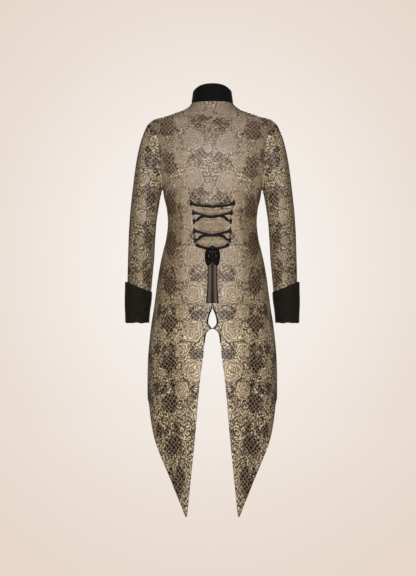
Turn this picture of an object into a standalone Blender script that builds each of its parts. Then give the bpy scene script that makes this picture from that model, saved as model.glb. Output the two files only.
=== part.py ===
"""A tailcoat that keeps its worn shape with no wearer in it.

Metres, +Z up. The origin is the centre of the neck at the level of the neck seam. The coat's front
faces +Y, so its laced back faces -Y, and +X is the wearer's right. The torso is a stack of rounded
rings whose sizes stand in a short table. An angle of 0 is the centre back and 180 degrees is the
centre front. Each cloth piece is a grid between two seams of that surface, and has a wall.
"""

import math
from collections import namedtuple

import bmesh
import bpy
from mathutils import Vector

# Driving sizes, in metres
CLOTH = 0.002
CUFF_CLOTH = 0.0025
CUFF_GAP = 0.0007
COLLAR_CLOTH = 0.003
SEAM_GAP = 0.0003
LEAST_WIDTH = 0.003
NECK_DROP = 0.0707
SHOULDER_TIP = -0.0006
LAP = 0.020
SEAM_END = -1.0915
FRONT_END = -0.920
TAIL_TIP = -1.298
LAP_LIFT = 0.0026
COAT_WAIST = -0.455

# Height, half width, depth to the back, depth to the front, and roundness (2 is an ellipse)
Ring = namedtuple("Ring", "z half back front power")
RINGS = [
    Ring(0.000, 0.067, 0.068, 0.064, 2.00),
    Ring(-0.0095, 0.0755, 0.070, 0.066, 2.05),
    Ring(-0.020, 0.0915, 0.073, 0.069, 2.10),
    Ring(-0.032, 0.1235, 0.077, 0.073, 2.15),
    Ring(-0.044, 0.159, 0.082, 0.078, 2.20),
    Ring(-0.056, 0.194, 0.088, 0.084, 2.25),
    Ring(-0.080, 0.191, 0.099, 0.096, 2.30),
    Ring(-0.115, 0.185, 0.110, 0.109, 2.35),
    Ring(-0.163, 0.183, 0.117, 0.119, 2.35),
    Ring(-0.200, 0.175, 0.117, 0.122, 2.35),
    Ring(-0.243, 0.164, 0.113, 0.122, 2.35),
    Ring(-0.275, 0.158, 0.109, 0.120, 2.35),
    Ring(-0.301, 0.154, 0.105, 0.117, 2.30),
    Ring(-0.340, 0.145, 0.098, 0.109, 2.25),
    Ring(-0.378, 0.142, 0.095, 0.103, 2.20),
    Ring(-0.429, 0.147, 0.100, 0.105, 2.20),
    Ring(-0.467, 0.156, 0.107, 0.110, 2.20),
    Ring(-0.506, 0.165, 0.115, 0.116, 2.15),
    Ring(-0.557, 0.174, 0.124, 0.124, 2.15),
    Ring(-0.608, 0.181, 0.131, 0.130, 2.10),
    Ring(-0.659, 0.188, 0.137, 0.135, 2.10),
    Ring(-0.710, 0.196, 0.142, 0.138, 2.10),
    Ring(-0.762, 0.202, 0.146, 0.141, 2.10),
    Ring(-0.813, 0.206, 0.149, 0.143, 2.10),
    Ring(-0.877, 0.208, 0.152, 0.145, 2.10),
    Ring(-0.960, 0.208, 0.154, 0.147, 2.10),
    Ring(-1.310, 0.208, 0.156, 0.147, 2.10),
]

# Distance from the centre back, by height, of the curved back seam, the vent's edge and the tail's outer edge
Edge = namedtuple("Edge", "z x")
BACK_SEAM = [
    Edge(-0.1938, 0.1605),
    Edge(-0.2270, 0.1510),
    Edge(-0.2750, 0.1340),
    Edge(-0.3090, 0.1120),
    Edge(-0.3200, 0.0920),
    Edge(-0.3300, 0.0740),
    Edge(-0.3450, 0.0650),
    Edge(-0.3700, 0.0620),
    Edge(-0.4400, 0.0605),
    Edge(-0.4750, 0.0700),
    Edge(-0.520, 0.090),
    Edge(-0.595, 0.109),
    Edge(-0.723, 0.127),
    Edge(-0.850, 0.141),
    Edge(-0.950, 0.152),
    Edge(-1.050, 0.163),
    Edge(-1.200, 0.176),
]
VENT_EDGE = [
    Edge(-0.6400, 0.0000),
    Edge(-0.6520, 0.0046),
    Edge(-0.6690, 0.0088),
    Edge(-0.6820, 0.0120),
    Edge(-0.6950, 0.0136),
    Edge(-0.7010, 0.0124),
    Edge(-0.7090, 0.0062),
    Edge(-0.7146, 0.0022),
    Edge(-0.7190, 0.0108),
    Edge(-0.7311, 0.0203),
    Edge(-0.8055, 0.0290),
    Edge(-0.8800, 0.0387),
    Edge(-0.9660, 0.0464),
    Edge(-1.0404, 0.0522),
    Edge(-1.1390, 0.0619),
    Edge(-1.2386, 0.0722),
    Edge(-1.3100, 0.0800),
]
TAIL_EDGE = [
    Edge(-0.9440, 0.2078),
    Edge(-0.9764, 0.2020),
    Edge(-1.0243, 0.1905),
    Edge(-1.0733, 0.1755),
    Edge(-1.1210, 0.1580),
    Edge(-1.1688, 0.1400),
    Edge(-1.2163, 0.1205),
    Edge(-1.2641, 0.0980),
    Edge(-1.3050, 0.0800),
]

# The angle of the cut front edge from the coat's waist back to the hip, and of the side seam
Sweep = namedtuple("Sweep", "z degrees")
FRONT_CUT = [
    Sweep(-0.4550, 190.0),
    Sweep(-0.4620, 180.0),
    Sweep(-0.4750, 172.0),
    Sweep(-0.5000, 163.0),
    Sweep(-0.5500, 151.0),
    Sweep(-0.6200, 141.0),
    Sweep(-0.7100, 131.0),
    Sweep(-0.8000, 119.0),
    Sweep(-0.8800, 105.0),
    Sweep(-0.9440, 88.0),
]
SIDE_SEAM = [
    Sweep(-0.275, 90.0),
    Sweep(-0.340, 93.0),
    Sweep(-0.430, 97.0),
    Sweep(-0.700, 98.0),
    Sweep(-0.920, 97.0),
]

# Long soft folds of the skirt: angle, how far each reaches along the girth, height at the hem
Fold = namedtuple("Fold", "degrees reach height")
SKIRT_FOLDS = [
    Fold(18.0, 9.0, 0.0030),
    Fold(37.0, 8.0, -0.0035),
    Fold(56.0, 10.0, 0.0040),
    Fold(78.0, 9.0, -0.0030),
]
SKIRT_FOLDS_TOP = -0.52
SKIRT_FOLDS_FULL = -0.95

# The armhole, an upright oval seen from the side
ARMHOLE_MIDDLE = -0.1655
ARMHOLE_HALF_HEIGHT = 0.1095
ARMHOLE_BACK = 0.056
ARMHOLE_FRONT = 0.053
ARMHOLE_STEP = 15
ARMHOLE_TOP = ARMHOLE_MIDDLE + ARMHOLE_HALF_HEIGHT
UNDERARM = ARMHOLE_MIDDLE - ARMHOLE_HALF_HEIGHT

# Sleeve rings: height, outer and inner edge from the centre, middle of the depth, half depth
Arm = namedtuple("Arm", "z outer inner middle depth")
SLEEVE_RINGS = [
    Arm(-0.314, 0.2590, 0.1685, -0.002, 0.0580),
    Arm(-0.345, 0.2625, 0.1735, 0.000, 0.0565),
    Arm(-0.378, 0.2650, 0.1785, 0.003, 0.0550),
    Arm(-0.415, 0.2675, 0.1815, 0.007, 0.0540),
    Arm(-0.450, 0.2690, 0.1840, 0.012, 0.0525),
    Arm(-0.490, 0.2705, 0.1860, 0.018, 0.0505),
    Arm(-0.530, 0.2720, 0.1900, 0.025, 0.0485),
    Arm(-0.575, 0.2735, 0.1945, 0.033, 0.0465),
    Arm(-0.635, 0.2748, 0.2005, 0.044, 0.0442),
    Arm(-0.696, 0.2750, 0.2065, 0.054, 0.0425),
]
CAP_LEAVE = 0.60
CAP_ARRIVE = 1.12
ARM_RADIUS = 0.05
CAP_STEPS = [0.0, 0.10, 0.24, 0.40, 0.57, 0.74, 0.88, 1.0]
HIND_SEAM = 120
FORE_SEAM = 240
CUFF_HEM = -0.7015
CUFF_TOP = -0.5850
CUFF_SLANT = 0.0165
CUFF_FLARE = 0.0045

# Collar: height above the neck seam by the angle round the neck
Stand = namedtuple("Stand", "degrees height lean")
COLLAR_STAND = [
    Stand(0.0, 0.0572, 0.0040),
    Stand(20.0, 0.0560, 0.0040),
    Stand(40.0, 0.0522, 0.0045),
    Stand(64.0, 0.0440, 0.0050),
    Stand(90.0, 0.0375, 0.0055),
    Stand(180.0, 0.0360, 0.0060),
]
COLLAR_FRONT_GAP = 0.0030
COLLAR_LEVELS = [0.0, 0.25, 0.5, 0.75, 0.93, 1.0]
COLLAR_ROLL = 0.0006
COLLAR_CORNER = 0.010
NECK_RADIUS = 0.09

# The lace rows: height and half span, then the lace's and the loops' sizes
Row = namedtuple("Row", "z half")
LACE_ROWS = [
    Row(-0.3211, 0.0675),
    Row(-0.3513, 0.0605),
    Row(-0.3793, 0.0580),
    Row(-0.4089, 0.0565),
    Row(-0.4402, 0.0550),
]
LACE_WIDTH = 0.0070
RIBBON_CLOTH = 0.0010
LACE_LOW = 0.0011
LACE_HIGH = 0.0038
LACE_PAST_LOOP = 0.003
LACE_LEVEL = 0.007
LACE_LEVEL_RISE = 0.0012
# Where a crossing lace bends: share of its row's half span, height from the row
Bend = namedtuple("Bend", "share rise")
TOP_BEND = Bend(0.55, 0.0085)
LOW_BEND = Bend(0.58, 0.0140)
BEND_LIFT = 0.6
LOOP_WIRE = 0.0014
LOOP_FOOT = 0.0008
LOOP_RISE = 0.0062
LOOP_SPARE = 0.0040
# Half a loop's arch: share of its half length along, and share of its rise
LOOP_ARCH = [(1.0, 0.0), (0.96, 0.5), (0.78, 0.9), (0.4, 1.0)]

# Runs of the first row's lace, of the strands from the last loops to the bow, and of the hanging
# ends: distance from the centre, drop below the row or the bow, lift off the cloth
Run = namedtuple("Run", "x drop lift")
BAR_MIDDLE = Run(0.0000, 0.0125, 0.0030)
BAR_BEND = Run(0.0450, 0.0088, 0.0024)
TO_BOW = [
    Run(0.0510, 0.0125, 0.0011),
    Run(0.0400, 0.0190, 0.0011),
    Run(0.0220, 0.0245, 0.0030),
    Run(0.0076, 0.0262, 0.0042),
]
HANGING_END = [
    Run(0.0086, 0.0085, 0.0053),
    Run(0.0088, 0.0240, 0.0054),
    Run(0.0090, 0.0420, 0.0042),
    Run(0.0092, 0.0620, 0.0028),
    Run(0.0096, 0.1000, 0.0026),
    Run(0.0110, 0.1400, 0.0026),
    Run(0.0122, 0.1700, 0.0030),
]
END_WIDTH = 0.0165

# The bow: its height, its knot's half sizes, and each hanging loop's oval
BOW_HEIGHT = -0.4660
KNOT_HALF = (0.0066, 0.0050, 0.0075)
KNOT_LIFT = 0.0058
BOW_LOOP_X = 0.0114
BOW_LOOP_DROP = 0.0262
BOW_LOOP_HALF = (0.0095, 0.0262)
BOW_LOOP_LIFTS = (0.0065, 0.0135)
BOW_LOOP_INSET = 0.42
BOW_LOOP_START = 125
BOW_LOOP_TURN = 350
BOW_LOOP_STEPS = 18

# The vent's binding and the thread bar at its pinch
BINDING_TOP = -0.600
BINDING_END = -0.732
BINDING_INSET = 0.0016
BINDING_WIRE = 0.0009
BINDING_LIFT = 0.0013
BAR_HEIGHT = -0.7146
BAR_HALF = 0.006
BAR_LIFT = 0.0042
BAR_WIRE = 0.0013

# The covered buttons down the centre front
BUTTON_RADIUS = 0.0088
BUTTON_DEPTH = 0.0040
BUTTON_TAPER = 0.0008
BUTTON_BEVEL = 0.0012
BUTTON_SIDES = 14
BUTTON_COUNT = 5
BUTTON_TOP = -0.102
BUTTON_SPACING = 0.082

SKIN_ROWS = 0.029


def curve_value(table, column, z):
    """A table's column at a height, by a smooth curve that never overshoots its rows."""
    rows = table if table[0].z > table[-1].z else table[::-1]
    if z >= rows[0].z:
        return getattr(rows[0], column)
    if z <= rows[-1].z:
        return getattr(rows[-1], column)
    place = next(i for i in range(len(rows) - 1) if rows[i + 1].z <= z)
    steps = []
    for i in range(max(0, place - 1), min(len(rows) - 1, place + 2)):
        rise = getattr(rows[i + 1], column) - getattr(rows[i], column)
        steps.append((i, rise / (rows[i + 1].z - rows[i].z)))
    slope = dict(steps)

    def tangent(i):
        before = slope.get(i - 1)
        after = slope.get(i)
        if before is None or after is None:
            return after if before is None else before
        return 0.0 if before * after <= 0 else 2 * before * after / (before + after)

    span = rows[place + 1].z - rows[place].z
    t = (z - rows[place].z) / span
    start = getattr(rows[place], column)
    end = getattr(rows[place + 1], column)
    return (
        start * (1 + 2 * t) * (1 - t) ** 2
        + span * tangent(place) * t * (1 - t) ** 2
        + end * t * t * (3 - 2 * t)
        + span * tangent(place + 1) * t * t * (t - 1)
    )


def by_angle(table, column, degrees):
    """A column of a table that is ordered by angle, between straight lines."""
    for low, high in zip(table, table[1:]):
        if degrees <= high.degrees:
            t = (degrees - low.degrees) / (high.degrees - low.degrees)
            return getattr(low, column) * (1 - t) + getattr(high, column) * t
    return getattr(table[-1], column)


def smooth_step(value, low, high):
    t = min(1.0, max(0.0, (value - low) / (high - low)))
    return t * t * (3 - 2 * t)


def body(z, angle):
    """A point of the torso's surface, with an angle in degrees."""
    half = curve_value(RINGS, "half", z)
    power = curve_value(RINGS, "power", z)
    turn = math.radians(angle)
    sine = math.sin(turn)
    cosine = math.cos(turn)
    depth = curve_value(RINGS, "back" if cosine > 0 else "front", z)
    reach = (abs(sine) ** power + abs(cosine) ** power) ** (-1 / power)
    grown = 1.0 + fold_height(z, abs(angle)) / math.hypot(half * sine, depth * cosine) / reach
    return Vector((half * sine * reach * grown, -depth * cosine * reach * grown, z))


def fold_height(z, angle):
    """How far the skirt's long folds stand out here."""
    full = smooth_step(-z, -SKIRT_FOLDS_TOP, -SKIRT_FOLDS_FULL)
    return full * sum(f.height * math.exp(-(((angle - f.degrees) / f.reach) ** 2)) for f in SKIRT_FOLDS)


def body_normal(z, angle):
    step = 0.0015
    turn = 0.8
    along = body(z, angle + turn) - body(z, angle - turn)
    up = body(z + step, angle) - body(z - step, angle)
    return along.cross(up).normalized()


def angle_at_x(z, x, front=False):
    """The angle of the surface's point this far from the centre."""
    share = min(1.0, x / curve_value(RINGS, "half", z))
    power = curve_value(RINGS, "power", z)
    other = max(0.0, 1 - share**power) ** (1 / power)
    angle = math.degrees(math.atan2(share, other))
    return 180 - angle if front else angle


def angle_at_depth(z, depth, front=False):
    """The angle of the surface's point this far behind or before the side."""
    share = depth / curve_value(RINGS, "front" if front else "back", z)
    power = curve_value(RINGS, "power", z)
    other = max(0.0, 1 - share**power) ** (1 / power)
    angle = math.degrees(math.atan2(other, share))
    return 180 - angle if front else angle


def degrees_for(z, angle, length):
    """The turn that moves a point of the surface by this length."""
    return length / (body(z, angle + 0.5) - body(z, angle - 0.5)).length


def armhole_turn(z):
    share = (z - ARMHOLE_MIDDLE) / ARMHOLE_HALF_HEIGHT
    return math.acos(min(1.0, max(-1.0, share)))


def armhole_angle(z, front=False):
    depth = (ARMHOLE_FRONT if front else ARMHOLE_BACK) * math.sin(armhole_turn(z))
    return angle_at_depth(z, depth, front)


def in_armhole(z):
    return UNDERARM < z < ARMHOLE_TOP


def neck_angle(z):
    """The angle of the front neck seam at a height between the shoulder and the centre front."""
    turn = -z / NECK_DROP * math.pi / 2
    return angle_at_x(z, curve_value(RINGS, "half", 0.0) * math.cos(turn), front=True)


def cut_angle(z):
    """The angle of the coat's lower edge: cut away at the front, then the tail's outer edge."""
    if z > TAIL_EDGE[0].z:
        return curve_value(FRONT_CUT, "degrees", z)
    return angle_at_x(z, curve_value(TAIL_EDGE, "x", z))


def outer_limit(z):
    """What bounds the back half at a height: shoulder seam, armhole, side seam or cut edge."""
    if z >= ARMHOLE_TOP:
        return 90.0
    if in_armhole(z):
        return armhole_angle(z)
    return min(curve_value(SIDE_SEAM, "degrees", z), cut_angle(z))


def back_seam_angle(z):
    limit = outer_limit(z)
    if z > BACK_SEAM[0].z:
        return limit
    seam = angle_at_x(z, curve_value(BACK_SEAM, "x", z))
    least = degrees_for(z, limit - 4, LEAST_WIDTH)
    return seam if seam < limit - least else limit


def vent_angle(z):
    if z > VENT_EDGE[0].z:
        return 0.0
    return angle_at_x(z, curve_value(VENT_EDGE, "x", z))


def level_rows(top, bottom):
    """Even rows below a height, down to another one."""
    count = round((top - bottom) / SKIN_ROWS)
    return [top + (bottom - top) * (i + 1) / count for i in range(count)]


def heights():
    """The level rows of the whole torso, from the neck to the tips of the tails."""
    shoulder = [0.0, -0.003, -0.0095, -0.020, -0.032, -0.044]
    turns = [math.radians(a) for a in range(0, 181, ARMHOLE_STEP)]
    armhole = [ARMHOLE_MIDDLE + ARMHOLE_HALF_HEIGHT * math.cos(a) for a in turns]
    waist = [-0.2920, -0.3090, -0.3200, -0.3300, -0.3500, -0.3750, -0.4000, -0.4280]
    cutaway = [COAT_WAIST, -0.4620, -0.4750, -0.5000, -0.5260, -0.5550, -0.5850, -0.6150]
    vent = [-0.640, -0.652, -0.669, -0.682, -0.695, -0.7010, -0.709, -0.7146, -0.719, -0.7311, -0.750]
    tails = level_rows(vent[-1], SEAM_END) + level_rows(SEAM_END, TAIL_TIP)
    return shoulder + armhole + waist + cutaway + vent + tails


HEIGHTS = heights()
VENT_ONLY = (-0.652, -0.682, -0.695, -0.709, -0.7146, -0.719)


def mesh_object(name, points, faces, material):
    mesh = bpy.data.meshes.new(name)
    mesh.from_pydata([tuple(p) for p in points], [], faces)
    shell = bmesh.new()
    shell.from_mesh(mesh)
    bmesh.ops.recalc_face_normals(shell, faces=shell.faces)
    shell.to_mesh(mesh)
    shell.free()
    mesh.shade_smooth()
    mesh.set_sharp_from_angle(angle=math.radians(40))
    mesh.materials.append(material)
    made = bpy.data.objects.new(name, mesh)
    bpy.data.collections["tailcoat"].objects.link(made)
    return made


def wall(name, outer, inner, material, closed=False):
    """A closed wall between two grids of points, whose rows close on themselves for a tube."""
    rows = len(outer)
    across = len(outer[0])
    count = rows * across
    points = [p for row in outer for p in row] + [p for row in inner for p in row]
    last = across if closed else across - 1
    faces = []
    for i in range(rows - 1):
        for j in range(last):
            k = (j + 1) % across
            a, b, c, d = (i * across + j, i * across + k, (i + 1) * across + k, (i + 1) * across + j)
            faces.append((a, b, c, d))
            faces.append((count + d, count + c, count + b, count + a))
    for i in (0, rows - 1):
        for j in range(last):
            k = (j + 1) % across
            faces.append((i * across + j, i * across + k, count + i * across + k, count + i * across + j))
    if not closed:
        for i in range(rows - 1):
            for j in (0, across - 1):
                a, b = (i * across + j, (i + 1) * across + j)
                faces.append((a, b, count + b, count + a))
    return mesh_object(name, points, faces, material)


def mirrored(grid, side):
    """Side 1 is the wearer's right (+X), side -1 the left."""
    return [[Vector((p.x * side, p.y, p.z)) for p in row] for row in grid]


def panel(name, side, zs, left, right, columns, material, lift=None):
    """A wall over the torso's surface between two seams, half a seam gap in from each."""
    outer = []
    inner = []
    for z in zs:
        start = left(z)
        end = right(z)
        start += degrees_for(z, start, SEAM_GAP / 2)
        end -= degrees_for(z, end, SEAM_GAP / 2)
        least = degrees_for(z, start, LEAST_WIDTH)
        end = max(end, start + least)
        outer_row = []
        inner_row = []
        for j, angle in enumerate(spaced(start, end, columns, z)):
            out = body_normal(z, angle)
            point = body(z, angle)
            if lift:
                point = point + Vector((out.x, out.y, 0.0)).normalized() * lift(angle)
            inward = out * CLOTH
            at_armhole = in_armhole(z) or abs(z - ARMHOLE_TOP) < 1e-6
            if at_armhole and (j in (0, columns)) and abs(angle - nearest_armhole(z, angle)) < 1.0:
                inward = armhole_inward(z, angle, CLOTH)
            outer_row.append(point)
            inner_row.append(point - inward)
        outer.append(outer_row)
        inner.append(inner_row)
    return wall(name, mirrored(outer, side), mirrored(inner, side), material)


def spaced(start, end, columns, z):
    """A row's angles. The two fronts share theirs where they lap, so that their walls run alongside."""
    lap_start = 180 - degrees_for(z, 180, LAP)
    lap_columns = 2 if end > lap_start + 1 else 0
    middle = lap_start if lap_columns else end
    plain = columns - lap_columns
    angles = [start + (middle - start) * j / plain for j in range(plain + 1)]
    return angles + [middle + (end - middle) * j / 2 for j in range(1, lap_columns + 1)]


def nearest_armhole(z, angle):
    return armhole_angle(z, front=angle > 90)


def armhole_inward(z, angle, thickness):
    """The direction and length through a wall at the armhole, mitred where the sleeve turns down."""
    turn = math.degrees(armhole_turn(z))
    phi = turn if angle <= 90 else 360 - turn
    out = body_normal(z, angle)
    sleeve_out = sleeve_normal(phi, 0.0)
    away = sleeve_start(phi)
    if away.dot(out) >= 0:
        return out * thickness
    middle = (out + sleeve_out).normalized()
    return middle * (thickness / max(0.6, middle.dot(out)))


def armhole_point(phi):
    """The armhole's point, with phi 0 at the shoulder, 90 at the back and 180 under the arm."""
    turn = math.radians(phi)
    z = ARMHOLE_MIDDLE + ARMHOLE_HALF_HEIGHT * math.cos(turn)
    z = min(ARMHOLE_TOP, max(UNDERARM, z))
    front = math.sin(turn) < 0
    return body(z, armhole_angle(z, front))


def sleeve_start(phi):
    """The direction in which the sleeve leaves the armhole."""
    turn = math.radians(phi)
    top = max(0.0, math.cos(turn))
    under = max(0.0, -math.cos(turn))
    across = math.sin(turn)
    out = Vector((0.80, -0.40 * across, -0.52 - 0.10 * top - 0.70 * under))
    return out.normalized()


def arm_ring(z, phi, grow=0.0):
    outer = curve_value(SLEEVE_RINGS, "outer", z) + grow
    inner = curve_value(SLEEVE_RINGS, "inner", z) - grow
    middle = curve_value(SLEEVE_RINGS, "middle", z)
    depth = curve_value(SLEEVE_RINGS, "depth", z) + grow
    turn = math.radians(phi)
    across = (outer + inner) / 2 + (outer - inner) / 2 * math.cos(turn)
    return Vector((across, middle - depth * math.sin(turn), z))


def cap_point(phi, w):
    """The sleeve's head, from the armhole at w 0 to the arm's first ring at w 1."""
    start = armhole_point(phi)
    end = arm_ring(SLEEVE_RINGS[0].z, phi)
    span = (end - start).length
    away = sleeve_start(phi) * span * CAP_LEAVE
    arrive = (arm_ring(SLEEVE_RINGS[1].z, phi) - end).normalized() * span * CAP_ARRIVE
    return (
        start * ((1 + 2 * w) * (1 - w) ** 2)
        + away * (w * (1 - w) ** 2)
        + end * (w * w * (3 - 2 * w))
        + arrive * (w * w * (w - 1))
    )


def sleeve_normal(phi, w):
    low = max(0.0, w - 0.02)
    high = w + 0.02
    along = cap_point(phi - 2, w) - cap_point(phi + 2, w)
    down = cap_point(phi, high) - cap_point(phi, low)
    return along.cross(down).normalized() * -1


def arm_normal(z, phi):
    around = arm_ring(z, phi + 2) - arm_ring(z, phi - 2)
    down = arm_ring(z - 0.004, phi) - arm_ring(z + 0.004, phi)
    return around.cross(down).normalized()


def sleeve_half(name, side, first, last, material):
    """One of a sleeve's two pieces, between two seams that run down the arm."""
    count = (last - first) // ARMHOLE_STEP
    outer = []
    inner = []
    stations = [("cap", w) for w in CAP_STEPS] + [("arm", ring.z) for ring in SLEEVE_RINGS[1:]]
    for kind, value in stations:
        outer_row = []
        inner_row = []
        for j in range(count + 1):
            phi = first + j * ARMHOLE_STEP
            nudge = math.degrees(SEAM_GAP / 2 / ARM_RADIUS)
            if j == 0:
                phi += nudge
            if j == count:
                phi -= nudge
            if kind == "arm":
                point = arm_ring(value, phi)
                inward = arm_normal(value, phi) * CLOTH
            else:
                point = cap_point(phi, value)
                out = sleeve_normal(phi, value)
                inward = out * CLOTH
                if value == 0.0:
                    point = point + sleeve_start(phi) * SEAM_GAP / 2
                    inward = sleeve_edge_inward(phi, out)
            outer_row.append(point)
            inner_row.append(point - inward)
        outer.append(outer_row)
        inner.append(inner_row)
    return wall(name, mirrored(outer, side), mirrored(inner, side), material)


def sleeve_edge_inward(phi, out):
    turn = math.radians(phi)
    z = min(ARMHOLE_TOP, max(UNDERARM, ARMHOLE_MIDDLE + ARMHOLE_HALF_HEIGHT * math.cos(turn)))
    torso_out = body_normal(z, armhole_angle(z, math.sin(turn) < 0))
    if sleeve_start(phi).dot(torso_out) >= 0:
        return out * CLOTH
    middle = (out + torso_out).normalized()
    return middle * (CLOTH / max(0.6, middle.dot(out)))


def cuff(name, side, material):
    """The turned cuff, a tube round the sleeve's end whose top edge slants down to the inside."""
    levels = 5
    steps = 24
    grow = CUFF_GAP + CUFF_CLOTH
    outer = []
    inner = []
    for i in range(levels + 1):
        share = i / levels
        outer_row = []
        inner_row = []
        for j in range(steps):
            phi = j * 360 / steps
            top = CUFF_TOP + CUFF_SLANT * math.cos(math.radians(phi))
            z = top + (CUFF_HEM - top) * share
            flare = CUFF_FLARE * max(0.0, math.cos(math.radians(phi)))
            outer_row.append(arm_ring(z, phi, grow + flare))
            inner_row.append(arm_ring(z, phi, grow + flare - CUFF_CLOTH))
        outer.append(outer_row)
        inner.append(inner_row)
    return wall(name, mirrored(outer, side), mirrored(inner, side), material, closed=True)


def neck_loop(degrees):
    """The neck seam: level across the back, dropping to the centre front."""
    if degrees <= 90:
        return body(0.0, degrees)
    z = -NECK_DROP * (degrees - 90) / 90
    return body(z, neck_angle(z))


def collar(material):
    """The stand collar, from the centre front round the back to the centre front."""
    back = [j * 15.0 for j in range(7)]
    front = [90 - z / NECK_DROP * 90 for z in HEIGHTS if -NECK_DROP + 1e-4 < z < 0]
    last = 180 - math.degrees(COLLAR_FRONT_GAP / 2 / NECK_RADIUS)
    half = back + sorted(front) + [last]
    around = [-a for a in half[:0:-1]] + half
    outer = []
    inner = []
    for share in COLLAR_LEVELS:
        outer_row = []
        inner_row = []
        for degrees in around:
            side = -1 if degrees < 0 else 1
            turn = abs(degrees)
            foot = neck_loop(turn)
            height = by_angle(COLLAR_STAND, "height", turn)
            lean = by_angle(COLLAR_STAND, "lean", turn)
            round_off = COLLAR_CORNER * smooth_step(turn, 165, 180) * share
            out = Vector((foot.x, foot.y, 0)).normalized()
            foot = foot - out * (lean * share)
            rolled = COLLAR_ROLL if share == 1.0 else 0.0
            z = foot.z + SEAM_GAP + (height - round_off) * share
            outer_row.append(Vector((side * (foot.x - out.x * rolled), foot.y - out.y * rolled, z)))
            thick = COLLAR_CLOTH - rolled
            inner_row.append(Vector((side * (foot.x - out.x * thick), foot.y - out.y * thick, z)))
        outer.append(outer_row)
        inner.append(inner_row)
    return wall("collar", outer, inner, material)


def on_back(x, z, lift):
    """A point over the back at this distance from the centre, moved out along its normal."""
    angle = angle_at_x(z, abs(x))
    point = body(z, angle) + body_normal(z, angle) * lift
    return Vector((math.copysign(point.x, x), point.y, point.z))


def back_out(x, z):
    out = body_normal(z, angle_at_x(z, abs(x)))
    return Vector((math.copysign(out.x, x) if x else 0.0, out.y, out.z))


def ribbon(name, route, material, width=LACE_WIDTH):
    """A flat band along a route of (x, z, lift) over the back, wide within the surface."""
    centres = [on_back(x, z, lift) for x, z, lift in route]
    outer = []
    inner = []
    for i, centre in enumerate(centres):
        ahead = centres[min(i + 1, len(centres) - 1)] - centres[max(i - 1, 0)]
        out = back_out(route[i][0], route[i][1])
        sideways = ahead.cross(out).normalized() * width / 2
        lifted = out * RIBBON_CLOTH / 2
        outer.append([centre - sideways + lifted, centre + sideways + lifted])
        inner.append([centre - sideways - lifted, centre + sideways - lifted])
    return wall(name, outer, inner, material)


def spread(points, count):
    """A smooth run of points through a few (x, z, lift) points."""
    run = []
    last = len(points) - 1
    for i in range(count + 1):
        place = i / count * last
        k = min(int(place), last - 1)
        t = place - k
        before = points[max(k - 1, 0)]
        start, end = (points[k], points[k + 1])
        after = points[min(k + 2, last)]
        run.append(
            tuple(
                0.5
                * (
                    2 * b
                    + (c - a) * t
                    + (2 * a - 5 * b + 4 * c - d) * t * t
                    + (3 * b - a - 3 * c + d) * t**3
                )
                for a, b, c, d in zip(before, start, end, after)
            )
        )
    return run


def tube(name, points, radius, material, sides=2):
    """A round cord along a list of points, with filled ends."""
    data = bpy.data.curves.new(name, "CURVE")
    data.dimensions = "3D"
    data.bevel_depth = radius
    data.bevel_resolution = sides
    data.use_fill_caps = True
    line = data.splines.new("POLY")
    line.points.add(len(points) - 1)
    for place, point in zip(line.points, points):
        place.co = (*point, 1.0)
    data.materials.append(material)
    made = bpy.data.objects.new(name, data)
    bpy.data.collections["tailcoat"].objects.link(made)
    return made


def lace_loop(name, x, z, material):
    """A loop that stands over the curved back seam, so that the lace passes under it."""
    half = LACE_WIDTH / 2 + LOOP_SPARE
    arch = [(-along, up) for along, up in LOOP_ARCH] + LOOP_ARCH[::-1]
    rise = LOOP_RISE - LOOP_FOOT
    points = [on_back(x, z + half * along, LOOP_FOOT + rise * up) for along, up in arch]
    return tube(name, points, LOOP_WIRE, material, sides=1)


def lace_loops(material):
    for number, row in enumerate(LACE_ROWS, 1):
        for word, side in (("left", -1), ("right", 1)):
            lace_loop(f"lace_loop_{number}_{word}", side * (row.half - 0.001), row.z, material)


def lace_bar(material):
    """The lace across the first row, which sags to the centre."""
    row = LACE_ROWS[0]
    end = row.half + LACE_PAST_LOOP
    half = [(BAR_BEND.x, row.z - BAR_BEND.drop, BAR_BEND.lift), (end, row.z, LACE_LOW)]
    middle = [(BAR_MIDDLE.x, row.z - BAR_MIDDLE.drop, BAR_MIDDLE.lift)]
    run = [(-x, z, lift) for x, z, lift in half[::-1]] + middle + half
    return ribbon("lace_bar", spread(run, 16), material)


def lace_cross(word, top, bottom, material):
    """The lace's two strands that cross between two rows, one low and one over it."""
    for side, name, lift in ((1, "under", LACE_LOW), (-1, "over", LACE_HIGH)):
        shoulder = LACE_LOW + (lift - LACE_LOW) * BEND_LIFT
        run = [
            (-side * (top.half + LACE_PAST_LOOP), top.z, LACE_LOW),
            (-side * top.half * TOP_BEND.share, top.z - TOP_BEND.rise, shoulder),
            (0.0, (top.z + bottom.z) / 2, lift),
            (side * bottom.half * LOW_BEND.share, bottom.z + LOW_BEND.rise, shoulder),
            (side * (bottom.half - LACE_LEVEL), bottom.z + LACE_LEVEL_RISE, LACE_LOW),
            (side * (bottom.half + LACE_PAST_LOOP), bottom.z, LACE_LOW),
        ]
        ribbon(f"lace_{word}_{name}", spread(run, 16), material)


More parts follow.
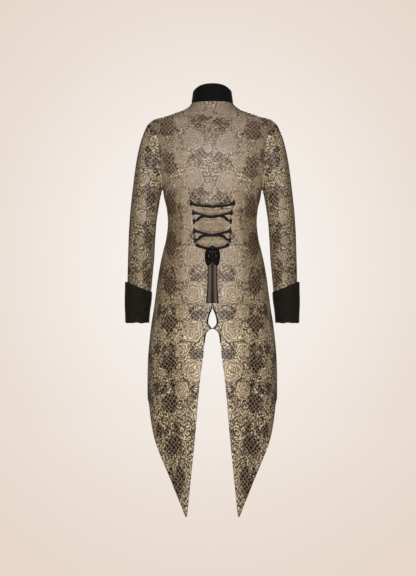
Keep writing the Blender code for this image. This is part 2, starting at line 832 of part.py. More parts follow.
def bow(material):
    """The strands from the last loops, the knot, its two hanging loops and the two free ends."""
    knot = bmesh.new()
    bmesh.ops.create_uvsphere(knot, u_segments=12, v_segments=8, radius=1.0)
    mesh = bpy.data.meshes.new("bow_knot")
    knot.to_mesh(mesh)
    knot.free()
    wide, deep, tall = KNOT_HALF
    mesh.transform(((wide, 0, 0, 0), (0, deep, 0, 0), (0, 0, tall, 0), (0, 0, 0, 1)))
    mesh.shade_smooth()
    mesh.materials.append(material)
    made = bpy.data.objects.new("bow_knot", mesh)
    made.location = on_back(0.0, BOW_HEIGHT, KNOT_LIFT)
    bpy.data.collections["tailcoat"].objects.link(made)
    last = LACE_ROWS[-1].z
    for word, side in (("left", -1), ("right", 1)):
        bow_loop(f"bow_loop_{word}", side, material)
        strand = [(side * run.x, last - run.drop, run.lift) for run in TO_BOW]
        ribbon(f"lace_to_bow_{word}", spread(strand, 8), material)
        hang = [(side * run.x, BOW_HEIGHT - run.drop, run.lift) for run in HANGING_END]
        ribbon(f"lace_end_{word}", spread(hang, 16), material, width=END_WIDTH)


def bow_loop(name, side, material):
    """A hanging loop of the bow: a band bent round an oval, whose outer rim leans away from the back."""
    near, far = BOW_LOOP_LIFTS
    half_x, half_z = BOW_LOOP_HALF
    low = []
    high = []
    for i in range(BOW_LOOP_STEPS + 1):
        turn = math.radians(BOW_LOOP_START - BOW_LOOP_TURN * i / BOW_LOOP_STEPS)
        x = math.cos(turn) * half_x
        z = math.sin(turn) * half_z
        middle = BOW_HEIGHT - BOW_LOOP_DROP
        low.append(on_back(BOW_LOOP_X + x, middle + z, near))
        inset = 1 - BOW_LOOP_INSET
        high.append(on_back(BOW_LOOP_X + x * inset, middle + z * inset, far))
    outer = []
    inner = []
    for i in range(BOW_LOOP_STEPS + 1):
        ahead = low[min(i + 1, BOW_LOOP_STEPS)] - low[max(i - 1, 0)]
        out = ahead.cross(high[i] - low[i]).normalized() * RIBBON_CLOTH / 2
        outer.append([low[i] + out, high[i] + out])
        inner.append([low[i] - out, high[i] - out])
    return wall(name, mirrored(outer, side), mirrored(inner, side), material)


def vent_binding(name, side, material):
    """The black binding just inside each edge of the centre vent."""
    points = []
    for z in HEIGHTS:
        if BINDING_END < z < BINDING_TOP:
            angle = vent_angle(z) + degrees_for(z, 5.0, BINDING_INSET)
            point = body(z, angle) + body_normal(z, angle) * BINDING_LIFT
            points.append(Vector((side * point.x, point.y, point.z)))
    return tube(name, points, BINDING_WIRE, material, sides=1)


def thread_bar(material):
    """The bar of black thread that holds the vent at its pinch."""
    points = [on_back(BAR_HALF * share, BAR_HEIGHT, BAR_LIFT) for share in (-1, -0.5, 0, 0.5, 1)]
    return tube("vent_bar", points, BAR_WIRE, material, sides=1)


def button(number, z, material):
    """A covered button on the left front, at the centre front."""
    shape = bmesh.new()
    top = BUTTON_RADIUS - BUTTON_TAPER
    sizes = {"radius1": BUTTON_RADIUS, "radius2": top, "depth": BUTTON_DEPTH}
    bmesh.ops.create_cone(shape, cap_ends=True, segments=BUTTON_SIDES, **sizes)
    mesh = bpy.data.meshes.new(f"button_{number}")
    shape.to_mesh(mesh)
    shape.free()
    mesh.materials.append(material)
    made = bpy.data.objects.new(f"button_{number}", mesh)
    out = body_normal(z, 180.0)
    made.rotation_mode = "QUATERNION"
    made.rotation_quaternion = out.to_track_quat("Z", "X")
    centre = body(z, 180.0)
    reach = degrees_for(z, 180.0, BUTTON_RADIUS)
    under = [body(z + BUTTON_RADIUS * up, 180 - reach * along) for up in (-1, 0, 1) for along in (0, 1)]
    seat = LAP_LIFT + SEAM_GAP + max((point - centre).dot(out) for point in under)
    made.location = centre + out * (seat + BUTTON_DEPTH / 2)
    bevel = made.modifiers.new("rounded", "BEVEL")
    bevel.width = BUTTON_BEVEL
    bevel.segments = 2
    bevel.limit_method = "ANGLE"
    bpy.data.collections["tailcoat"].objects.link(made)
    return made


def look(name, colour, roughness):
    material = bpy.data.materials.new(name)
    material.use_nodes = True
    shader = material.node_tree.nodes["Principled BSDF"]
    shader.inputs["Base Color"].default_value = (*colour, 1.0)
    shader.inputs["Roughness"].default_value = roughness
    shader.inputs["Metallic"].default_value = 0.0
    return material


def lap_lift(angle):
    """The left front lies over the right one near the centre front."""
    return LAP_LIFT * smooth_step(angle, 150, 168)


def front_edge(z):
    """The front's edge: neck seam, then the lapped centre front, then the cut edge."""
    if z >= SHOULDER_TIP:
        return 90.0
    if z > -NECK_DROP - 1e-4:
        return neck_angle(z)
    lap = 180 + degrees_for(z, 180, LAP)
    if z > COAT_WAIST:
        return lap
    return min(lap, cut_angle(z))


def front_start(z):
    """The front's other edge: shoulder seam, armhole, side seam."""
    if z >= ARMHOLE_TOP - 1e-9:
        return 90.0
    if in_armhole(z):
        return armhole_angle(z, front=True)
    return curve_value(SIDE_SEAM, "degrees", z)


def main():
    for old in list(bpy.data.objects):
        bpy.data.objects.remove(old, do_unlink=True)
    group = bpy.data.collections.new("tailcoat")
    bpy.context.scene.collection.children.link(group)
    brocade = look("brocade", (0.30, 0.23, 0.15), 0.5)
    black = look("black cloth", (0.012, 0.010, 0.009), 0.8)
    satin = look("satin ribbon", (0.06, 0.045, 0.04), 0.35)
    cord = look("loop cord", (0.02, 0.015, 0.012), 0.6)
    plain = [z for z in HEIGHTS if z not in VENT_ONLY]
    side_zs = [z for z in plain if z < BACK_SEAM[0].z and back_seam_angle(z) < outer_limit(z) - 0.1]
    front_zs = [SHOULDER_TIP] + [z for z in plain if FRONT_END < z < SHOULDER_TIP]
    for word, side in (("left", -1), ("right", 1)):
        panel(f"back_{word}", side, HEIGHTS, vent_angle, back_seam_angle, 6, brocade)
        panel(f"side_{word}", side, side_zs, back_seam_angle, outer_limit, 4, brocade)
        lift = lap_lift if side < 0 else None
        panel(f"front_{word}", side, front_zs, front_start, front_edge, 7, brocade, lift)
        sleeve_half(f"sleeve_top_{word}", side, FORE_SEAM - 360, HIND_SEAM, brocade)
        sleeve_half(f"sleeve_under_{word}", side, HIND_SEAM, FORE_SEAM, brocade)
        cuff(f"cuff_{word}", side, black)
        vent_binding(f"vent_binding_{word}", side, black)
    collar(black)
    lace_loops(cord)
    lace_bar(satin)
    lace_cross("upper", LACE_ROWS[1], LACE_ROWS[2], satin)
    lace_cross("lower", LACE_ROWS[3], LACE_ROWS[4], satin)
    bow(satin)
    thread_bar(black)
    for number in range(BUTTON_COUNT):
        button(number + 1, BUTTON_TOP - BUTTON_SPACING * number, black)


main()
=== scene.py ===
"""Dresses the tailcoat's frame in woven brocade, velvet and satin, and lights it in a pale studio.

Metres, +Z up, with the wearer's front at +Y, so the laced back faces -Y. The torso's surface is the
one that the frame's solids follow: a stack of rounded rings, where an angle of 0 is the centre back
and 180 degrees is the centre front. Each cloth piece is a fine grid over it, with soft creases, and
carries a map of its flat cut in metres, so that the woven figure keeps its real size everywhere.
"""

import math
from collections import namedtuple
from functools import partial, reduce

import bmesh
import bpy
import numpy as np
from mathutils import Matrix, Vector


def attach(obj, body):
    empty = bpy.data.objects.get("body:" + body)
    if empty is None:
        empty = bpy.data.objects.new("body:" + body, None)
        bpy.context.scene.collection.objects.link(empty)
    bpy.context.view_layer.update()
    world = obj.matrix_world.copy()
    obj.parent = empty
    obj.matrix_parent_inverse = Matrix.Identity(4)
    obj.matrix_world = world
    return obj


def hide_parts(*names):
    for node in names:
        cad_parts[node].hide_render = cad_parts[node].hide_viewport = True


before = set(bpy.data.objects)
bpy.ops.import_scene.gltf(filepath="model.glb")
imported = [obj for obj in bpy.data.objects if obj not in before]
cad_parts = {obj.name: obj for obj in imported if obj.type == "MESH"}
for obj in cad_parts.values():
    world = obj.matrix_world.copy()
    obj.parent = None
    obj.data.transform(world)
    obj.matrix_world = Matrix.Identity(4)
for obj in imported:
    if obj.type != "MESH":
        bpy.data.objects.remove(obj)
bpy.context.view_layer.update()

bl_info = {
    "name": "Laced tailcoat",
    "version": (1, 0, 0),
    "blender": (4, 5, 0),
    "location": "3D View > Sidebar > Tailcoat",
    "description": "Makes the cloth pieces, lacing and trim of a laced tailcoat over its frame",
    "category": "Object",
}

# Driving sizes of the frame, in metres
CLOTH = 0.002
CUFF_CLOTH = 0.0025
CUFF_GAP = 0.0007
COLLAR_CLOTH = 0.003
SEAM_GAP = 0.0003
STITCH = 0.00003
LEAST_WIDTH = 0.003
NECK_DROP = 0.0707
SHOULDER_TIP = -0.0006
LAP = 0.020
TAIL_TIP = -1.298
LAP_LIFT = 0.0026
COAT_WAIST = -0.455
FRONT_LOWEST = -0.9105
# Faces that meet at more than this many degrees keep a sharp edge
SHARP_FROM = 40

# Height, half width, depth to the back, depth to the front, and roundness (2 is an ellipse)
Ring = namedtuple("Ring", "z half back front power")
RINGS = [
    Ring(0.000, 0.067, 0.068, 0.064, 2.00),
    Ring(-0.0095, 0.0755, 0.070, 0.066, 2.05),
    Ring(-0.020, 0.0915, 0.073, 0.069, 2.10),
    Ring(-0.032, 0.1235, 0.077, 0.073, 2.15),
    Ring(-0.044, 0.159, 0.082, 0.078, 2.20),
    Ring(-0.056, 0.194, 0.088, 0.084, 2.25),
    Ring(-0.080, 0.191, 0.099, 0.096, 2.30),
    Ring(-0.115, 0.185, 0.110, 0.109, 2.35),
    Ring(-0.163, 0.183, 0.117, 0.119, 2.35),
    Ring(-0.200, 0.175, 0.117, 0.122, 2.35),
    Ring(-0.243, 0.164, 0.113, 0.122, 2.35),
    Ring(-0.275, 0.158, 0.109, 0.120, 2.35),
    Ring(-0.301, 0.154, 0.105, 0.117, 2.30),
    Ring(-0.340, 0.145, 0.098, 0.109, 2.25),
    Ring(-0.378, 0.142, 0.095, 0.103, 2.20),
    Ring(-0.429, 0.147, 0.100, 0.105, 2.20),
    Ring(-0.467, 0.156, 0.107, 0.110, 2.20),
    Ring(-0.506, 0.165, 0.115, 0.116, 2.15),
    Ring(-0.557, 0.174, 0.124, 0.124, 2.15),
    Ring(-0.608, 0.181, 0.131, 0.130, 2.10),
    Ring(-0.659, 0.188, 0.137, 0.135, 2.10),
    Ring(-0.710, 0.196, 0.142, 0.138, 2.10),
    Ring(-0.762, 0.202, 0.146, 0.141, 2.10),
    Ring(-0.813, 0.206, 0.149, 0.143, 2.10),
    Ring(-0.877, 0.208, 0.152, 0.145, 2.10),
    Ring(-0.960, 0.208, 0.154, 0.147, 2.10),
    Ring(-1.310, 0.208, 0.156, 0.147, 2.10),
]

# Distance from the centre back, by height, of the back seam, the vent's edge and the tail's edge
Edge = namedtuple("Edge", "z x")
BACK_SEAM = [
    Edge(-0.1938, 0.1605),
    Edge(-0.2270, 0.1510),
    Edge(-0.2750, 0.1340),
    Edge(-0.3090, 0.1120),
    Edge(-0.3200, 0.0920),
    Edge(-0.3300, 0.0740),
    Edge(-0.3450, 0.0650),
    Edge(-0.3700, 0.0620),
    Edge(-0.4400, 0.0605),
    Edge(-0.4750, 0.0700),
    Edge(-0.520, 0.090),
    Edge(-0.595, 0.109),
    Edge(-0.723, 0.127),
    Edge(-0.850, 0.141),
    Edge(-0.950, 0.152),
    Edge(-1.050, 0.163),
    Edge(-1.200, 0.176),
]
VENT_EDGE = [
    Edge(-0.6400, 0.0000),
    Edge(-0.6540, 0.0020),
    Edge(-0.6670, 0.0074),
    Edge(-0.6820, 0.0120),
    Edge(-0.6950, 0.0136),
    Edge(-0.7010, 0.0124),
    Edge(-0.7090, 0.0062),
    Edge(-0.7146, 0.0022),
    Edge(-0.7190, 0.0108),
    Edge(-0.7311, 0.0203),
    Edge(-0.8055, 0.0290),
    Edge(-0.8800, 0.0387),
    Edge(-0.9660, 0.0464),
    Edge(-1.0404, 0.0522),
    Edge(-1.1390, 0.0619),
    Edge(-1.2386, 0.0722),
    Edge(-1.3100, 0.0800),
]
TAIL_EDGE = [
    Edge(-0.9440, 0.2078),
    Edge(-0.9764, 0.2020),
    Edge(-1.0243, 0.1905),
    Edge(-1.0733, 0.1755),
    Edge(-1.1210, 0.1580),
    Edge(-1.1688, 0.1400),
    Edge(-1.2163, 0.1205),
    Edge(-1.2641, 0.0980),
    Edge(-1.3050, 0.0800),
]

# The angle of the cut front edge from the coat's waist back to the hip, and of the side seam
Sweep = namedtuple("Sweep", "z degrees")
FRONT_CUT = [
    Sweep(-0.4550, 190.0),
    Sweep(-0.4620, 180.0),
    Sweep(-0.4750, 172.0),
    Sweep(-0.5000, 163.0),
    Sweep(-0.5500, 151.0),
    Sweep(-0.6200, 141.0),
    Sweep(-0.7100, 131.0),
    Sweep(-0.8000, 119.0),
    Sweep(-0.8800, 105.0),
    Sweep(-0.9440, 88.0),
]
SIDE_SEAM = [
    Sweep(-0.275, 90.0),
    Sweep(-0.340, 93.0),
    Sweep(-0.430, 97.0),
    Sweep(-0.700, 98.0),
    Sweep(-0.920, 97.0),
]

# Long soft folds of the skirt: angle, how far each reaches along the girth, height at the hem
Fold = namedtuple("Fold", "degrees reach height")
SKIRT_FOLDS = [
    Fold(18.0, 9.0, 0.0030),
    Fold(37.0, 8.0, -0.0035),
    Fold(56.0, 10.0, 0.0040),
    Fold(78.0, 9.0, -0.0030),
]
SKIRT_FOLDS_TOP = -0.52
SKIRT_FOLDS_FULL = -0.95

# The armhole, an upright oval seen from the side
ARMHOLE_MIDDLE = -0.1655
ARMHOLE_HALF_HEIGHT = 0.1095
ARMHOLE_BACK = 0.056
ARMHOLE_FRONT = 0.053
ARMHOLE_TOP = ARMHOLE_MIDDLE + ARMHOLE_HALF_HEIGHT
UNDERARM = ARMHOLE_MIDDLE - ARMHOLE_HALF_HEIGHT

# Sleeve rings: height, outer and inner edge from the centre, middle of the depth, half depth
Arm = namedtuple("Arm", "z outer inner middle depth")
SLEEVE_RINGS = [
    Arm(-0.314, 0.2590, 0.1685, -0.002, 0.0580),
    Arm(-0.345, 0.2625, 0.1735, 0.000, 0.0565),
    Arm(-0.378, 0.2650, 0.1785, 0.003, 0.0550),
    Arm(-0.415, 0.2675, 0.1815, 0.007, 0.0540),
    Arm(-0.450, 0.2690, 0.1840, 0.012, 0.0525),
    Arm(-0.490, 0.2705, 0.1860, 0.018, 0.0505),
    Arm(-0.530, 0.2720, 0.1900, 0.025, 0.0485),
    Arm(-0.575, 0.2735, 0.1945, 0.033, 0.0465),
    Arm(-0.635, 0.2748, 0.2005, 0.044, 0.0442),
    Arm(-0.696, 0.2750, 0.2065, 0.054, 0.0425),
]
HIND_SEAM = 120
FORE_SEAM = 240
ARM_MIDDLE = 0.225
ARM_RADIUS = 0.05
# Over the sleeve's head: a soft roll's height, distance from the armhole and reach
HEAD_ROLL = (0.0016, 0.016, 0.012)
# The tuck at the armhole: depth in front, how much deeper behind, distance from the armhole and reach
HEAD_TUCK = (0.0007, 0.0016, 0.004, 0.0026)
SLEEVE_GROOVE = (0.0005, 0.0014)
# A sleeve's creases die out over this length at the armhole and over the cuff
SLEEVE_FADE = 0.02
# Radii by which turns round the sleeve, cuff and neck become lengths of their flat cuts
SLEEVE_MAP = 0.052
CUFF_MAP = 0.045
COLLAR_MAP = 0.07
CUFF_HEM = -0.7015
CUFF_TOP = -0.5850
CUFF_SLANT = 0.0165
CUFF_FLARE = 0.0045

# Collar: height above the neck seam by the angle round the neck
Stand = namedtuple("Stand", "degrees height lean")
COLLAR_STAND = [
    Stand(0.0, 0.0572, 0.0040),
    Stand(20.0, 0.0560, 0.0040),
    Stand(40.0, 0.0522, 0.0045),
    Stand(64.0, 0.0440, 0.0050),
    Stand(90.0, 0.0375, 0.0055),
    Stand(180.0, 0.0360, 0.0060),
]
COLLAR_FRONT_GAP = 0.0030
COLLAR_CORNER = 0.010
NECK_RADIUS = 0.09

# The lace rows: height and half span, then the lace's and the loops' sizes
Row = namedtuple("Row", "z half")
LACE_ROWS = [
    Row(-0.3211, 0.0675),
    Row(-0.3513, 0.0605),
    Row(-0.3793, 0.0580),
    Row(-0.4089, 0.0565),
    Row(-0.4402, 0.0550),
]
RIBBON_CLOTH = 0.0010
LACE_LOW = 0.0011
LACE_HIGH = 0.0038
LACE_PAST_LOOP = 0.003
LACE_LEVEL = 0.007
LACE_LEVEL_RISE = 0.0012
# Where a crossing lace bends: share of its row's half span, height from the row
Bend = namedtuple("Bend", "share rise")
TOP_BEND = Bend(0.55, 0.0085)
LOW_BEND = Bend(0.58, 0.0140)
BEND_LIFT = 0.6
LOOP_FACE = 0.0021
LOOP_FOOT = 0.0008
LOOP_RISE = 0.0062
LOOP_SPARE = 0.0040
LOOP_INSET = 0.001
LACE_CROWN = 0.0014
# Under a loop the lace bunches: how far off that starts, and how much wider and fuller it gets
BUNCHED = namedtuple("Bunched", "reach wider fuller")(0.009, 0.5, 0.0010)
# Half a loop's arch: share of its half length along, and share of its rise
LOOP_ARCH = [(1.0, 0.0), (0.96, 0.5), (0.78, 0.9), (0.4, 1.0)]

# Runs of the lace: distance from the centre, drop below its row or the bow, lift off the cloth
Run = namedtuple("Run", "x drop lift")
BAR_MIDDLE = Run(0.0000, 0.0125, 0.0030)
BAR_BEND = Run(0.0450, 0.0088, 0.0024)
TO_BOW = [
    Run(0.0510, 0.0125, 0.0011),
    Run(0.0400, 0.0190, 0.0011),
    Run(0.0220, 0.0245, 0.0030),
    Run(0.0076, 0.0262, 0.0042),
]
HANGING_END = [
    Run(0.0086, 0.0085, 0.0053),
    Run(0.0088, 0.0240, 0.0054),
    Run(0.0090, 0.0420, 0.0042),
    Run(0.0092, 0.0620, 0.0028),
    Run(0.0096, 0.1000, 0.0026),
    Run(0.0110, 0.1400, 0.0026),
    Run(0.0122, 0.1700, 0.0030),
]
END_WIDTH = 0.0165
END_CROWN = 0.0040

# The bow: its height, its knot's half sizes, and each hanging loop's oval
BOW_HEIGHT = -0.4660
KNOT_HALF = (0.0066, 0.0050, 0.0075)
KNOT_LIFT = 0.0058
# The lace wrapped round the knot makes it this much larger
KNOT_WRAPPED = (1.35, 1.0, 1.15)
BOW_LOOP_X = 0.0122
BOW_LOOP_DROP = 0.0262
BOW_LOOP_HALF = (0.0111, 0.0282)
BOW_LOOP_LIFTS = (0.0065, 0.0135)
BOW_LOOP_INSET = 0.42
BOW_LOOP_START = 125
BOW_LOOP_TURN = 350

# The vent's binding: span of heights, its mesh's row height, section (in from the edge, out), and core
BINDING_SPAN = (-0.6460, -0.7600)
BINDING_ROW = 0.0012
BINDING_SECTION = [(0.0040, 0.0004), (0.0030, 0.0007), (0.0010, 0.0008), (-0.0003, 0.0004)]
BINDING_SECTION += [(-0.0008, -0.0010), (-0.0003, -0.0024), (0.0010, -0.0028), (0.0032, -0.0026)]
BINDING_CORE = (0.0014, -0.0010)
# How far from its face toward its middle a solid piece's inner wall lies
BINDING_INSET = 0.22
CORD_INSET = 0.85
BUTTON_INSET = 0.4

# The thread bar at the vent's pinch
BAR_HEIGHT = -0.7146
BAR_HALF = 0.006
BAR_LIFT = 0.0042
BAR_WIRE = 0.0013

# The covered buttons down the centre front
BUTTON_RADIUS = 0.0088
BUTTON_DEPTH = 0.0040
BUTTON_COUNT = 5
BUTTON_TOP = -0.102
BUTTON_SPACING = 0.082
PLEATS = 16
PLEATS_START = 0.0078
PLEAT_DEPTH = 0.012
# A button's section: distance from its middle, and height, dome first and then its underside
BUTTON_SECTION = [(0.0, 0.0022), (0.0030, 0.0021), (0.0056, 0.0017), (0.0075, 0.0009), (0.0086, -0.0001)]
BUTTON_SECTION += [(0.0088, -0.0009), (0.0084, -0.0016), (0.0074, -0.0019), (0.0030, -0.0020), (0.0, -0.0020)]

# Between these heights the lace draws the back into small puffs
LACING_TOP = -0.300
LACING_END = -0.465
# Rows of the cloth's mesh are this close there, and beside the vent down to where its edge runs straight
FINE_ROW = 0.0014
VENT_ROW = 0.0022
VENT_CURVES_END = -0.735

# Along a seam: the groove's depth and half width, the puckers' height, place, reach and spacing
GROOVE_DEPTH = 0.0007
GROOVE_WIDTH = 0.0016
PUCKER_HEIGHT = 0.00018
PUCKER_FROM_SEAM = 0.005
PUCKER_REACH = 0.004
PUCKER_SPACING = 0.011
# Creases die out over this length before an open edge
CREASE_FADE = 0.012

# Creases from a point to a point, +x the wearer's right, with half width and height, a trough's negative
Crease = namedtuple("Crease", "x z end_x end_z width height")
# Those over the back that are drawn in on both sides along the laces, then the others there
LACED_IN = [
    Crease(0.066, -0.3211, 0.002, -0.3350, 0.0038, -0.0052),
    Crease(0.044, -0.3390, 0.012, -0.3405, 0.0036, 0.0030),
    Crease(0.059, -0.3513, 0.002, -0.3685, 0.0036, -0.0056),
    Crease(0.056, -0.3793, 0.026, -0.3700, 0.0034, -0.0048),
    Crease(0.056, -0.4089, 0.002, -0.4240, 0.0036, -0.0056),
    Crease(0.054, -0.4402, 0.026, -0.4270, 0.0034, -0.0048),
    Crease(0.040, -0.4560, 0.002, -0.4640, 0.0036, -0.0036),
]
BACK_CREASES = [c._replace(x=side * c.x, end_x=side * c.end_x) for c in LACED_IN for side in (-1, 1)]
BACK_CREASES += [
    Crease(-0.052, -0.3115, 0.052, -0.3115, 0.0110, 0.0030),
    Crease(-0.034, -0.3225, 0.034, -0.3225, 0.0060, 0.0034),
    Crease(-0.058, -0.3425, 0.058, -0.3425, 0.0024, -0.0020),
    Crease(-0.048, -0.3500, 0.048, -0.3500, 0.0056, 0.0052),
    Crease(-0.024, -0.3560, 0.024, -0.3560, 0.0060, 0.0036),
    Crease(-0.044, -0.3835, 0.044, -0.3835, 0.0085, 0.0076),
    Crease(-0.050, -0.3985, 0.050, -0.3985, 0.0030, -0.0034),
    Crease(-0.026, -0.4085, 0.026, -0.4085, 0.0066, 0.0072),
    Crease(-0.040, -0.4445, 0.040, -0.4445, 0.0110, 0.0064),
    Crease(-0.112, -0.3560, -0.064, -0.3480, 0.0060, -0.0016),
    Crease(-0.118, -0.3900, -0.062, -0.3850, 0.0070, 0.0018),
    Crease(-0.105, -0.4180, -0.060, -0.4130, 0.0060, -0.0016),
    Crease(0.064, -0.3500, 0.108, -0.3600, 0.0065, -0.0017),
    Crease(0.063, -0.3830, 0.121, -0.3860, 0.0065, 0.0016),
    Crease(0.060, -0.4120, 0.101, -0.4200, 0.0060, -0.0018),
    Crease(-0.056, -0.4480, -0.098, -0.4700, 0.0080, 0.0016),
    Crease(0.057, -0.4500, 0.092, -0.4760, 0.0080, 0.0018),
    Crease(-0.150, -0.2600, -0.100, -0.3150, 0.0090, -0.0018),
    Crease(0.148, -0.2550, 0.104, -0.3080, 0.0080, -0.0016),
    Crease(-0.170, -0.1500, -0.140, -0.2350, 0.0080, -0.0013),
    Crease(0.171, -0.1450, 0.143, -0.2250, 0.0085, -0.0015),
    Crease(-0.130, -0.0720, -0.050, -0.1020, 0.0110, 0.0012),
    Crease(0.124, -0.0700, 0.058, -0.0960, 0.0100, 0.0011),
    Crease(-0.028, -0.5200, -0.030, -0.6300, 0.0100, -0.0014),
    Crease(0.030, -0.5150, 0.033, -0.6200, 0.0110, -0.0012),
    Crease(-0.172, -0.5600, -0.176, -0.9200, 0.0090, -0.0022),
    Crease(0.170, -0.5800, 0.178, -0.9050, 0.0090, -0.0020),
    Crease(-0.120, -0.6400, -0.108, -1.0600, 0.0140, 0.0022),
    Crease(0.124, -0.6600, 0.110, -1.0200, 0.0130, 0.0020),
    Crease(-0.074, -0.7600, -0.082, -1.1500, 0.0120, -0.0018),
    Crease(0.078, -0.7400, 0.080, -1.1200, 0.0120, -0.0020),
]
# Those over the front
FRONT_CREASES = [
    Crease(-0.150, -0.2500, -0.080, -0.2300, 0.0090, -0.0020),
    Crease(0.148, -0.2550, 0.084, -0.2260, 0.0090, -0.0018),
    Crease(-0.110, -0.3300, -0.020, -0.3600, 0.0080, -0.0018),
    Crease(0.104, -0.3260, 0.016, -0.3520, 0.0080, -0.0016),
    Crease(-0.124, -0.3800, -0.018, -0.3950, 0.0080, 0.0016),
    Crease(0.118, -0.3860, 0.020, -0.4010, 0.0085, 0.0018),
    Crease(-0.120, -0.4300, -0.030, -0.4400, 0.0080, -0.0016),
    Crease(0.126, -0.4260, 0.034, -0.4420, 0.0070, -0.0014),
    Crease(-0.090, -0.4800, -0.104, -0.6200, 0.0110, 0.0022),
    Crease(0.092, -0.4760, 0.108, -0.6100, 0.0110, 0.0020),
    Crease(-0.140, -0.5000, -0.158, -0.7600, 0.0110, -0.0022),
    Crease(0.142, -0.5100, 0.160, -0.7500, 0.0110, -0.0024),
    Crease(-0.096, -0.1100, -0.060, -0.1900, 0.0120, 0.0012),
    Crease(0.098, -0.1060, 0.064, -0.1840, 0.0120, 0.0013),
]
# Those of a sleeve, with degrees round the arm for x: 0 is its outer side, 90 the back, 180 the inner
SLEEVE_CREASES = [
    Crease(140, -0.270, 95, -0.330, 0.0080, -0.0026),
    Crease(145, -0.320, 105, -0.360, 0.0075, 0.0018),
    Crease(150, -0.385, 95, -0.400, 0.0080, -0.0018),
    Crease(152, -0.420, 100, -0.425, 0.0075, 0.0016),
    Crease(150, -0.455, 105, -0.466, 0.0080, -0.0017),
    Crease(235, -0.430, 200, -0.460, 0.0090, -0.0014),
    Crease(80, -0.300, 70, -0.520, 0.0140, -0.0022),
    Crease(112, -0.470, 100, -0.580, 0.0120, -0.0022),
    Crease(40, -0.350, 30, -0.560, 0.0160, 0.0016),
    Crease(-40, -0.260, -30, -0.340, 0.0100, -0.0018),
    Crease(-90, -0.330, -60, -0.420, 0.0110, 0.0020),
    Crease(-110, -0.450, -60, -0.480, 0.0090, -0.0022),
    Crease(-100, -0.520, -70, -0.600, 0.0110, 0.0016),
    Crease(130, -0.540, 155, -0.575, 0.0080, -0.0014),
]


def linear(code):
    """An sRGB hex colour as the linear one that Blender's sockets take."""
    parts = [int(code[i : i + 2], 16) / 255 for i in (0, 2, 4)]
    return tuple(v / 12.92 if v <= 0.04045 else ((v + 0.055) / 1.055) ** 2.4 for v in parts)


def tint(name, description, code):
    """A colour that a user may change, with its default in sRGB hex."""
    settings = {"name": name, "description": description, "subtype": "COLOR", "default": linear(code)}
    return bpy.props.FloatVectorProperty(**settings)


class TailcoatCloth(bpy.types.PropertyGroup):
    """The cloths' colours and sizes that a user would change"""

    gold: tint("Brocade roses", "Colour of the cloth between a rose's lines", "A48E78")
    gold_shade: tint("Brocade scrolls", "Colour of the cloth between the scrolls' lines", "988369")
    gold_light: tint("Brocade lines", "Colour of the light lines of the roses and scrolls", "CFBEA5")
    net_cord: tint("Net cord", "Colour of the cords of the net patches", "907A63")
    ground: tint("Ground of the tails", "Colour of the dark ground of the tails and sleeves", "20150F")
    # The upper back's paler ground is painted sheen
    sheen_pale_ground: tint("Ground of the back", "Colour of the ground on the upper back", "503E36")
    # Darker stripes, partly woven and partly painted shade over the coat's sides
    shaded_stripe: bpy.props.FloatVectorProperty(
        name="Stripe",
        description="How much of each colour the darker stripes keep",
        subtype="COLOR",
        min=0.0,
        max=1.0,
        default=(0.62, 0.58, 0.50),
    )
    black: tint("Velvet", "Colour of the cuffs, buttons and vent binding", "1C1811")
    # The collar's velvet is the cuffs' velvet painted darker: painted shade
    collar_black_shaded: tint("Collar velvet", "Colour of the collar", "0A0706")
    # The lace and its hanging ends are one satin ribbon in two colours: the lace painted dark as shade, the
    # ends painted lighter as lit
    satin: tint("Satin lace", "Colour of the lace and its bow", "0E0B09")
    satin_end_lit: tint("Satin ends", "Colour of the lace's hanging ends, which lie flat to the light", "453B31")
    repeat_width: bpy.props.FloatProperty(
        name="Repeat width",
        description="Width of the brocade's repeat",
        default=0.212,
        min=0.05,
        unit="LENGTH",
    )
    repeat_height: bpy.props.FloatProperty(
        name="Repeat height",
        description="Height of the brocade's repeat",
        default=0.1206,
        min=0.05,
        unit="LENGTH",
    )
    lace_width: bpy.props.FloatProperty(
        name="Lace width",
        description="Width of the satin lace",
        default=0.0070,
        min=0.004,
        max=0.016,
        unit="LENGTH",
    )
    grid: bpy.props.FloatProperty(
        name="Cloth grid",
        description="Spacing of the cloth meshes' points",
        default=0.0045,
        min=0.003,
        max=0.02,
        unit="LENGTH",
    )


class TailcoatStudio(bpy.types.PropertyGroup):
    """The studio's colours and light"""

    # The backdrop glows with a painted pool of light, from the backdrop colour behind the coat to the rim
    # colour outward
    backdrop: tint("Backdrop", "Colour of the floor and backdrop behind the coat", "F7F2EE")
    backdrop_rim: tint("Backdrop rim", "Colour of the backdrop toward its corners", "E6D7CA")
    air: tint("Room", "Colour of the light from all round", "F3E9E2")
    key_power: bpy.props.FloatProperty(
        name="Light",
        description="Power that the soft lights' own powers are shares of",
        default=150.0,
        min=0.0,
        unit="POWER",
    )


def curve(table, column, z):
    """A table's column at an array of heights, by a smooth curve that never overshoots its rows."""
    rows = sorted(table, key=lambda row: row.z)
    places = np.array([row.z for row in rows])
    values = np.array([getattr(row, column) for row in rows])
    slopes = np.diff(values) / np.diff(places)
    before, after = (slopes[:-1], slopes[1:])
    bends = before * after <= 0
    tangents = np.concatenate([slopes[:1], np.zeros(len(rows) - 2), slopes[-1:]])
    tangents[1:-1] = np.where(bends, 0.0, 2 * before * after / np.where(bends, 1.0, before + after))
    z = np.clip(z, places[0], places[-1])
    k = np.clip(np.searchsorted(places, z) - 1, 0, len(rows) - 2)
    span = places[k + 1] - places[k]
    t = (z - places[k]) / span
    return (
        values[k] * (1 + 2 * t) * (1 - t) ** 2
        + span * tangents[k] * t * (1 - t) ** 2
        + values[k + 1] * t * t * (3 - 2 * t)
        + span * tangents[k + 1] * t * t * (t - 1)
    )


def smooth_step(value, low, high):
    """A soft step from 0 at low to 1 at high."""
    t = np.clip((value - low) / (high - low), 0.0, 1.0)
    return t * t * (3 - 2 * t)


